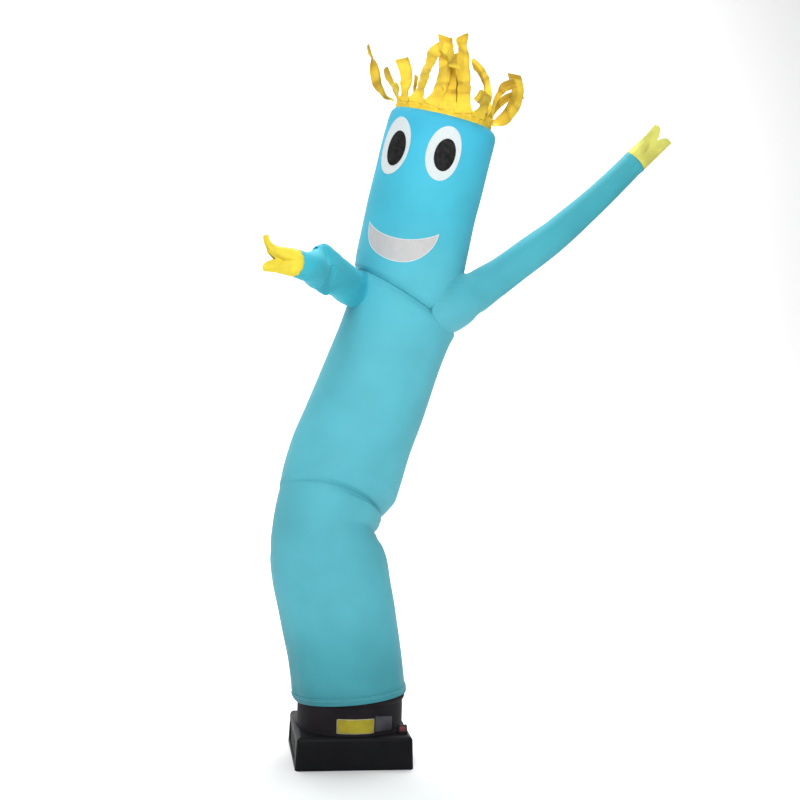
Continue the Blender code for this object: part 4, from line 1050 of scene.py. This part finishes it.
def ribbon_grid(row, number):
    """One ribbon's grid: middle + v half_width wide + lift out. The lift is a curve of straight pieces between
    random knots, whose place slants across the ribbon, so that the cloth looks creased and not rolled."""
    rng = np.random.default_rng(100 + number)
    angle, half_width, _ = row
    turn = np.array([math.radians(angle)])
    root = band_surface(turn, np.array([BAND_HEIGHT - 0.016]), np.array([0.0010]))[0]
    points, s, wide, out = ribbon_path(row, root)
    v = np.linspace(-1, 1, RIBBON_ACROSS)[None]
    s = s[:, None]
    length = s[-1, 0]
    free = ramp(s, 0.010, 0.040)
    knots = np.cumsum(rng.uniform(0.007, 0.024, 26)) - 0.02
    ups = rng.uniform(-1, 1, 26)
    skews = rng.uniform(-0.012, 0.012)
    crumple = 0.0042 * np.interp(s + skews * v, knots, ups) + 0.0026 * v * np.interp(s, knots + 0.004, ups[::-1])
    fold_at = rng.uniform(-0.5, 0.5) + 0.25 * np.sin(s / 0.03 + number)
    along_crease = 0.0085 * np.abs(v - fold_at)
    on_band = -((v * half_width) ** 2) / 0.29
    lift = (crumple + rng.choice([-1, 1]) * along_crease) * free + on_band * (1 - free)
    width = half_width * (1 + 0.32 * (1 - ramp(s, 0.0, 0.030)) - 0.16 * np.interp(s, knots, np.abs(ups)) * free)
    cut = rng.uniform(-0.8, 0.8) * v * half_width * ramp(s, length - 0.03, length)
    along = np.gradient(points, axis=0)
    along /= np.linalg.norm(along, axis=-1, keepdims=True)
    grid = points[:, None] + (v * width)[..., None] * wide[:, None]
    grid = grid + lift[..., None] * out[:, None] + cut[..., None] * along[:, None]
    uv = np.stack(np.broadcast_arrays(v * half_width + 0.05 * number, s), -1)
    # Painted shade: darker in the crease valleys, on one side of the lengthwise fold, along the edges, and on the
    # ribbons round the back.
    valley = np.interp(s + skews * v, knots, (1 - ups) / 2) ** 3
    valley = valley + np.interp(s, knots + 0.004, (1 + ups[::-1]) / 2) ** 5
    shaded_fold_side = 0.17 * ramp(v - fold_at, -0.05, 0.12)
    painted_shade = (0.60 * valley + 0.30 * (abs(angle) > 95) + shaded_fold_side + 0.15 * np.abs(v) ** 5) * free
    return grid, uv, np.minimum(painted_shade, 0.8)


def joined(grids):
    """Several open grids as one set of points, faces, face-corner UVs and painted shade values."""
    points, faces, loop_uv, painted_shades, count = [], [], [], [], 0
    for grid, uv, painted_shade in grids:
        corners, uv_corners = grid_faces(grid.shape[0], grid.shape[1], False)
        points.append(grid.reshape(-1, 3))
        faces.append(corners + count)
        loop_uv.append(uv.reshape(-1, 2)[uv_corners])
        painted_shades.append(painted_shade.ravel())
        count += grid.shape[0] * grid.shape[1]
    return np.concatenate(points), np.concatenate(faces), np.concatenate(loop_uv), np.concatenate(painted_shades)


band_angle = np.linspace(0, 2 * math.pi, 481)[None]
band_height = np.linspace(-0.002, BAND_HEIGHT - 0.002, 20)[:, None]
pleats = 0.0010 * ramp(band_height, 0.0, 0.02) * np.sin(47 * band_angle + 3 * np.sin(5 * band_angle))
ragged = 0.0020 * np.sin(29 * band_angle + 2 * np.sin(3 * band_angle)) * ramp(band_height, 0.02, 0.034)
band_grid = band_surface(
    np.broadcast_to(band_angle, pleats.shape), band_height + ragged, 0.0002 + pleats * np.ones_like(band_angle)
)
band_uv = np.stack(np.broadcast_arrays(band_angle * 0.145, band_height), -1)
# Painted shade in the band's pleat valleys.
band_painted_shade = np.clip(0.04 - pleats * 120, 0, 0.2)
strips = [(band_grid, band_uv, band_painted_shade)] + [ribbon_grid(row, number) for number, row in enumerate(RIBBONS)]
hair_points, hair_faces, hair_uv, hair_painted_shade = joined(strips)
hair = make_object("hair_fringe_cloth", turned(hair_points), hair_faces, hair_uv, hair_nylon, painted_shade=hair_painted_shade)
thicken(hair, 0.0007)
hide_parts("hair_fringe")

# %% [markdown]
# ## Stitches
#
# Every seam is closed by rows of thread. A stitch is a small grain that lies along the seam and dives
# into the cloth at both ends. Stitches stand at equal steps along a row of points, so a whole row is
# one array: rings of a grain, moved to each place and turned to its direction.

# %% Stitches


def stitch_row(name, path, centre_line, pitch, finish, radius=0.00045, lift=0.0003):
    """Grains along a closed path. centre_line holds a point inside the tube for each path point."""
    path, centre_line = np.vstack([path, path[:1]]), np.vstack([centre_line, centre_line[:1]])
    run = arc_length(path)
    spots = np.arange(pitch / 2, run[-1], pitch)
    at = np.stack([np.interp(spots, run, path[:, k]) for k in range(3)], -1)
    after = np.stack([np.interp(spots + 0.001, run, path[:, k]) for k in range(3)], -1)
    inside = np.stack([np.interp(spots, run, centre_line[:, k]) for k in range(3)], -1)
    along = after - at
    along /= np.linalg.norm(along, axis=-1, keepdims=True)
    out = at - inside
    out -= along * (out * along).sum(-1, keepdims=True)
    out /= np.linalg.norm(out, axis=-1, keepdims=True)
    side = np.cross(along, out)
    u = np.array([-0.36, -0.33, -0.15, 0.15, 0.33, 0.36]) * pitch
    thick = np.array([0.0, 0.8, 1.0, 1.0, 0.8, 0.0]) * radius
    arch = np.array([-0.9, -0.4, 0.6, 0.6, -0.4, -0.9]) * radius + lift
    turn = -np.arange(6) * math.pi / 3
    ring = np.cos(turn)[:, None, None, None] * side + np.sin(turn)[:, None, None, None] * out
    shape = ring.transpose(2, 1, 0, 3) * thick[None, :, None, None]
    middle = at[:, None] + along[:, None] * u[None, :, None] + out[:, None] * arch[None, :, None]
    points = (middle[:, :, None] + shape).reshape(-1, 3)
    corners, uv_corners = grid_faces(6, 6, True)
    faces = (corners[None] + np.arange(len(spots))[:, None, None] * 36).reshape(-1, 4)
    uv = np.broadcast_to(np.linspace(0, 0.003, 42)[:, None], (42, 2))[uv_corners]
    loop_uv = np.broadcast_to(uv, (len(spots), *uv.shape))
    made = weld(make_object(name, turned(points), faces, loop_uv, finish))
    return len(spots)


def tube_row(table, points, s, distance, t):
    """The row of a tube's grid at a distance from its start, and its ring's middle for each point."""
    row = int(np.argmin(np.abs(s[:, 0] - distance)))
    middle = ring_vectors(rows_at(table, t[row : row + 1]))[0]
    return points[row], np.broadcast_to(middle, points[row].shape)


count = 0
for distance in (0.0150, 0.0185):
    path, inside = tube_row(BODY_RINGS, body_points, body_s, distance, body_t)
    count += stitch_row(f"hem_stitches_{round(distance * 1e4)}", path, inside, 0.0042, blue_thread)
path, inside = tube_row(BODY_RINGS, body_points, body_s, body_s[-1, 0] - 0.010, body_t)
count += stitch_row("shoulder_stitches", path, inside, 0.0042, blue_thread)
for name, points in (("right", right_points), ("left", left_points)):
    inside = np.broadcast_to(points[-3].mean(0), points[-3].shape)
    count += stitch_row(f"{name}_wrist_stitches", points[-3], inside, 0.0038, blue_thread)
for name, points in (("right", right_hand_points), ("left", left_hand_points)):
    inside = np.broadcast_to(points[3].mean(0), points[3].shape)
    count += stitch_row(f"{name}_cuff_stitches", points[3], inside, 0.0038, lime_thread)
for height in (0.004, 0.008):
    angle = band_angle[0, :-1]
    path = band_surface(angle, np.full(480, height), np.full(480, 0.0004))
    inside = np.broadcast_to(hairline()[0], path.shape)
    count += stitch_row(f"band_stitches_{round(height * 1e3)}", path, inside, 0.0040, gold_thread)
print("stitches:", count)

# %% [markdown]
# ## The blower
#
# The blower is a squat moulded housing with drafted walls, so that it leaves its mould, and soft upper
# edges. It is a rounded square carried up a profile: at each height the square is inset by the draft
# and by the edge's quarter circle. The left wall has a pocket that the intake grille stands in.

# %% Blower housing
HOUSING_HALF = 0.167
HOUSING_HEIGHT = 0.092
HOUSING_DRAFT = 0.004
EDGE = 0.013
FOOT_EDGE = 0.002
GRILLE = (0.0026, 0.246, 0.056)
GRILLE_X = -HOUSING_HALF + 0.0052
GRILLE_Z = HOUSING_HEIGHT / 2 - 0.004
INTAKE_DEPTH = 0.016


def rounded_rectangle(half_x, half_y, corner, count=12):
    """Points round a rectangle with quarter-circle corners."""
    turn = np.linspace(0, math.pi / 2, count)
    rings = []
    for quarter, (sx, sy) in enumerate(((1, 1), (-1, 1), (-1, -1), (1, -1))):
        angle = turn + quarter * math.pi / 2
        x = sx * (half_x - corner) + corner * np.cos(angle)
        y = sy * (half_y - corner) + corner * np.sin(angle)
        rings.append(np.stack([x, y], -1))
    return np.concatenate(rings)


def block_points(half_x, half_y, corner, profile):
    """A rounded rectangle carried up a profile of (inset, z), and closed to a point at both ends."""
    rings = []
    for inset, z in profile:
        flat = rounded_rectangle(half_x - inset, half_y - inset, max(corner - inset, 0.0004))
        rings.append(np.column_stack([flat, np.full(len(flat), z)]))
    first, last = rings[0], rings[-1]
    for share in (0.6, 0.2, 0.0):
        rings.insert(0, first * (share, share, 1))
        rings.append(last * (share, share, 1))
    return np.array(rings)


def edge_profile(low, high, draft, foot, edge, steps=8):
    """(inset, z) up a drafted wall with a quarter circle of radius foot below and of radius edge above."""
    rows = []
    for step in range(steps + 1):
        turn = math.pi / 2 * step / steps
        rows.append((foot * (1 - math.sin(turn)), low + foot * (1 - math.cos(turn))))
    for z in np.linspace(low + foot, high - edge, 12)[1:-1]:
        rows.append((0.0, z))
    for step in range(steps + 1):
        turn = math.pi / 2 * step / steps
        rows.append((edge * (1 - math.cos(turn)), high - edge + edge * math.sin(turn)))
    return [(inset + draft * (z - low) / (high - low), z) for inset, z in rows]


def block_object(name, points, finish):
    """A closed block from its rings, with a UV map of the run round it and up it."""
    rows, columns = points.shape[:2]
    around = arc_length(points, axis=1)
    around = np.concatenate([around, around[:, -1:] + 0.001], 1)
    uv = np.stack([around, np.broadcast_to(points[:, :1, 2], around.shape)], -1)
    return weld(grid_object(name, points, uv, True, finish))


profile = edge_profile(0.0, HOUSING_HEIGHT, HOUSING_DRAFT, FOOT_EDGE, EDGE)
shell = block_object("housing_shell", block_points(HOUSING_HALF, HOUSING_HALF, EDGE, profile), shell_plastic)
_, grille_wide, grille_high = GRILLE
pocket_profile = edge_profile(-INTAKE_DEPTH, 0.03, 0.0, 0.001, 0.001, 3)
pocket = block_points(grille_high / 2 + 0.0004, grille_wide / 2 + 0.0004, 0.003, pocket_profile)
pocket = np.stack([GRILLE_X - pocket[..., 2], pocket[..., 1], GRILLE_Z + pocket[..., 0]], -1)
cutter = block_object("pocket_cutter", pocket, shell_plastic)
cut = shell.modifiers.new("intake_pocket", "BOOLEAN")
cut.operation = "DIFFERENCE"
cut.solver = "EXACT"
cut.object = cutter
evaluated = shell.evaluated_get(bpy.context.evaluated_depsgraph_get())
cut_mesh = bpy.data.meshes.new_from_object(evaluated)
shell.modifiers.clear()
shell.data = cut_mesh
bpy.data.objects.remove(cutter)
shell.data.shade_smooth()
shell.data.set_sharp_from_angle(angle=math.radians(40))
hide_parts("blower_housing")
print("housing shell:", len(shell.data.polygons), "faces")

# %% [markdown]
# ## The collar and its plates
#
# The collar is a thin ring with a bead rolled out round its mouth, which stops the cloth's tie from
# slipping off. It is one outline turned about the upright axis. Two plates are stuck to its front. Both
# are left blank, because this part carries no lettering.

# %% Collar
COLLAR_RADIUS = 0.153
COLLAR_WALL = 0.003
COLLAR_TOP = HOUSING_HEIGHT + 0.1005
BEAD_PROUD = 0.006
BEAD_HALF = 0.0105


def lathe(name, outline, finish, around=160):
    """A closed outline of (radius, z) turned about the upright axis: (r sin a, -r cos a, z)."""
    outline = np.array(outline)
    angle = np.arange(around) * 2 * math.pi / around
    r, z = outline[:, 0][:, None], outline[:, 1][:, None]
    points = np.stack(np.broadcast_arrays(r * np.sin(angle), -r * np.cos(angle), z), -1)
    run = arc_length(np.vstack([outline, outline[:1]]))
    round_it = np.linspace(0, 2 * math.pi * outline[:, 0].max(), around + 1)[None]
    uv = np.stack(np.broadcast_arrays(round_it, run[:, None]), -1)
    return grid_object(name, points, uv, True, finish, looped=True)


def collar_outline():
    """Up the outside from the foot's fillet to the bead, over the mouth, and down the inside."""
    foot = HOUSING_HEIGHT + 0.0004
    rows = [(COLLAR_RADIUS - COLLAR_WALL, foot)]
    for turn in np.linspace(math.pi, math.pi / 2, 7):
        rows.append((COLLAR_RADIUS + 0.005 + 0.005 * math.cos(turn), foot + 0.005 - 0.005 * math.sin(turn)))
    rows = [rows[0]] + rows[:0:-1]
    rows += [(COLLAR_RADIUS, z) for z in np.linspace(foot + 0.007, COLLAR_TOP - 2 * BEAD_HALF - 0.002, 8)]
    for turn in np.linspace(-math.pi / 2, math.pi / 2, 15):
        z = COLLAR_TOP - BEAD_HALF + BEAD_HALF * math.sin(turn)
        rows.append((COLLAR_RADIUS + BEAD_PROUD * math.cos(turn), z))
    rows += [(COLLAR_RADIUS - COLLAR_WALL / 2, COLLAR_TOP), (COLLAR_RADIUS - COLLAR_WALL, COLLAR_TOP - 0.001)]
    rows += [(COLLAR_RADIUS - COLLAR_WALL, z) for z in np.linspace(COLLAR_TOP - 0.003, foot + 0.003, 8)]
    return rows


collar = lathe("collar_ring", collar_outline(), collar_plastic)
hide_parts("blower_collar")


def plate(name, corners, lift, thickness, finish):
    """A plate bent round the collar. corners are (angle, z) in degrees and metres: low left, low right,
    high left and high right. Its grid blends them evenly, and draws in a little near its corners."""
    (a0, z0), (a1, z1), (a2, z2), (a3, z3) = corners
    u, v = np.meshgrid(np.linspace(-1, 1, 40), np.linspace(-1, 1, 20))
    x = u * (1 - 0.015 * v**12)
    y = v * (1 - 0.03 * u**24)
    s, t = (x + 1) / 2, (y + 1) / 2
    angle = (a0 * (1 - s) + a1 * s) * (1 - t) + (a2 * (1 - s) + a3 * s) * t
    z = (z0 * (1 - s) + z1 * s) * (1 - t) + (z2 * (1 - s) + z3 * s) * t
    turn = np.radians(angle) + LEAN_TURN
    radius = COLLAR_RADIUS + lift
    points = np.stack([radius * np.sin(turn), -radius * np.cos(turn), z], -1)
    uv = np.stack([angle * radius * math.pi / 180, z], -1)
    made = thicken(grid_object(name, points, uv, False, finish), thickness, 1.0)


LARGE_BORDER = ((-11.4, 0.0985), (29.2, 0.0985), (-11.4, 0.1400), (29.2, 0.1400))
LARGE_FACE = ((-10.6, 0.1006), (28.4, 0.1006), (-10.6, 0.1379), (28.4, 0.1379))
SMALL_PLATE = ((30.6, 0.1010), (53.6, 0.0985), (30.4, 0.1466), (53.6, 0.1380))
plate("large_plate_border", LARGE_BORDER, 0.0002, 0.0004, pale_plate)
plate("large_plate_face", LARGE_FACE, 0.0006, 0.0002, shaded_yellow_plate)
plate("small_plate", SMALL_PLATE, 0.0002, 0.0004, grey_plate)
print("collar ring:", len(collar.data.polygons), "faces, and two blank plates")

# %% [markdown]
# ## Finish of the small hard pieces
#
# The grille, the switch pod, the rocker and the cord inlet have the right shape already, so they keep
# their solids and take a moulded plastic.

# %% Small hard pieces
small = {
    "intake_grille": grille_plastic,
    "switch_pod": switch_plastic,
    "rocker_switch": red_plastic,
    "cord_inlet": switch_plastic,
}
for node, finish in small.items():
    mesh = frame["nodes"][node].data
    mesh.materials.clear()
    mesh.materials.append(finish)
print("finished nodes:", sorted(small))

# %% [markdown]
# ## Stage, light and camera
#
# The floor is a pale sheet that curves up behind the object. A large lamp stands in front, a weak one to
# the right of it, one above, and one that lights the backdrop, under an even pale sky. The camera stands
# where the photograph was taken from: level, a little over a metre up, and rolled by a degree and a half.

# %% Stage
bend = np.linspace(0, math.pi / 2, 16)
run = [(-9.0, 0.0), (3.0, 0.0)] + [(3.0 + 3 * math.sin(b), 3 - 3 * math.cos(b)) for b in bend[1:]] + [(6.0, 9.0)]
stage_points = np.array([[(x, y, z) for x in (-12.0, 12.0)] for y, z in run])
floor_material = new_material("floor_paper", (0.95, 0.95, 0.95), 0.9, specular=0.1)[0]
floor = grid_object("floor", stage_points, stage_points[..., :2], False, floor_material)
floor.parent = None
del floor["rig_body"]

world = bpy.data.worlds.new("studio")
bpy.context.scene.world = world
world.use_nodes = True
world.node_tree.nodes["Background"].inputs["Color"].default_value = (1, 1, 1, 1)
world.node_tree.nodes["Background"].inputs["Strength"].default_value = 0.27


def lamp(name, place, aim, size, power):
    """A square lamp that looks at a point."""
    light = bpy.data.lights.new(name, "AREA")
    light.size = size
    light.energy = power
    made = bpy.data.objects.new(name, light)
    bpy.context.scene.collection.objects.link(made)
    made.location = place
    made.rotation_euler = (Vector(aim) - Vector(place)).to_track_quat("-Z", "Y").to_euler()


lamp("key", (-0.7, -4.3, 3.0), (0.1, 0.0, 1.1), 1.7, 142)
lamp("fill", (3.2, -3.0, 1.6), (0.1, 0.0, 1.0), 2.6, 10)
lamp("top", (0.2, 0.2, 4.2), (0.1, 0.0, 1.2), 2.0, 30)
lamp("backdrop", (0.0, 1.8, 4.4), (0.2, 4.8, 0.6), 3.5, 330)

camera_data = bpy.data.cameras.new("camera")
camera_data.lens = 56.87
camera_data.sensor_width = 36
camera = bpy.data.objects.new("camera", camera_data)
bpy.context.scene.collection.objects.link(camera)
place = turned(np.array([0.123, -3.695, 1.039]))
ahead = Matrix.Rotation(LEAN_TURN, 4, "Z") @ Matrix.Rotation(math.radians(90), 4, "X")
camera.matrix_world = Matrix.Translation(place) @ ahead @ Matrix.Rotation(math.radians(1.53), 4, "Z")
bpy.context.scene.camera = camera
bpy.context.scene.view_settings.view_transform = "Standard"
print("camera at", np.round(place, 3).tolist())

# %% [markdown]
# ## Scene update
#
# The dressed object should keep the box of its solids, give or take the cloth's soft edges. This cell brings the
# view layer up to date.

# %% Scene update
bpy.context.view_layer.update()
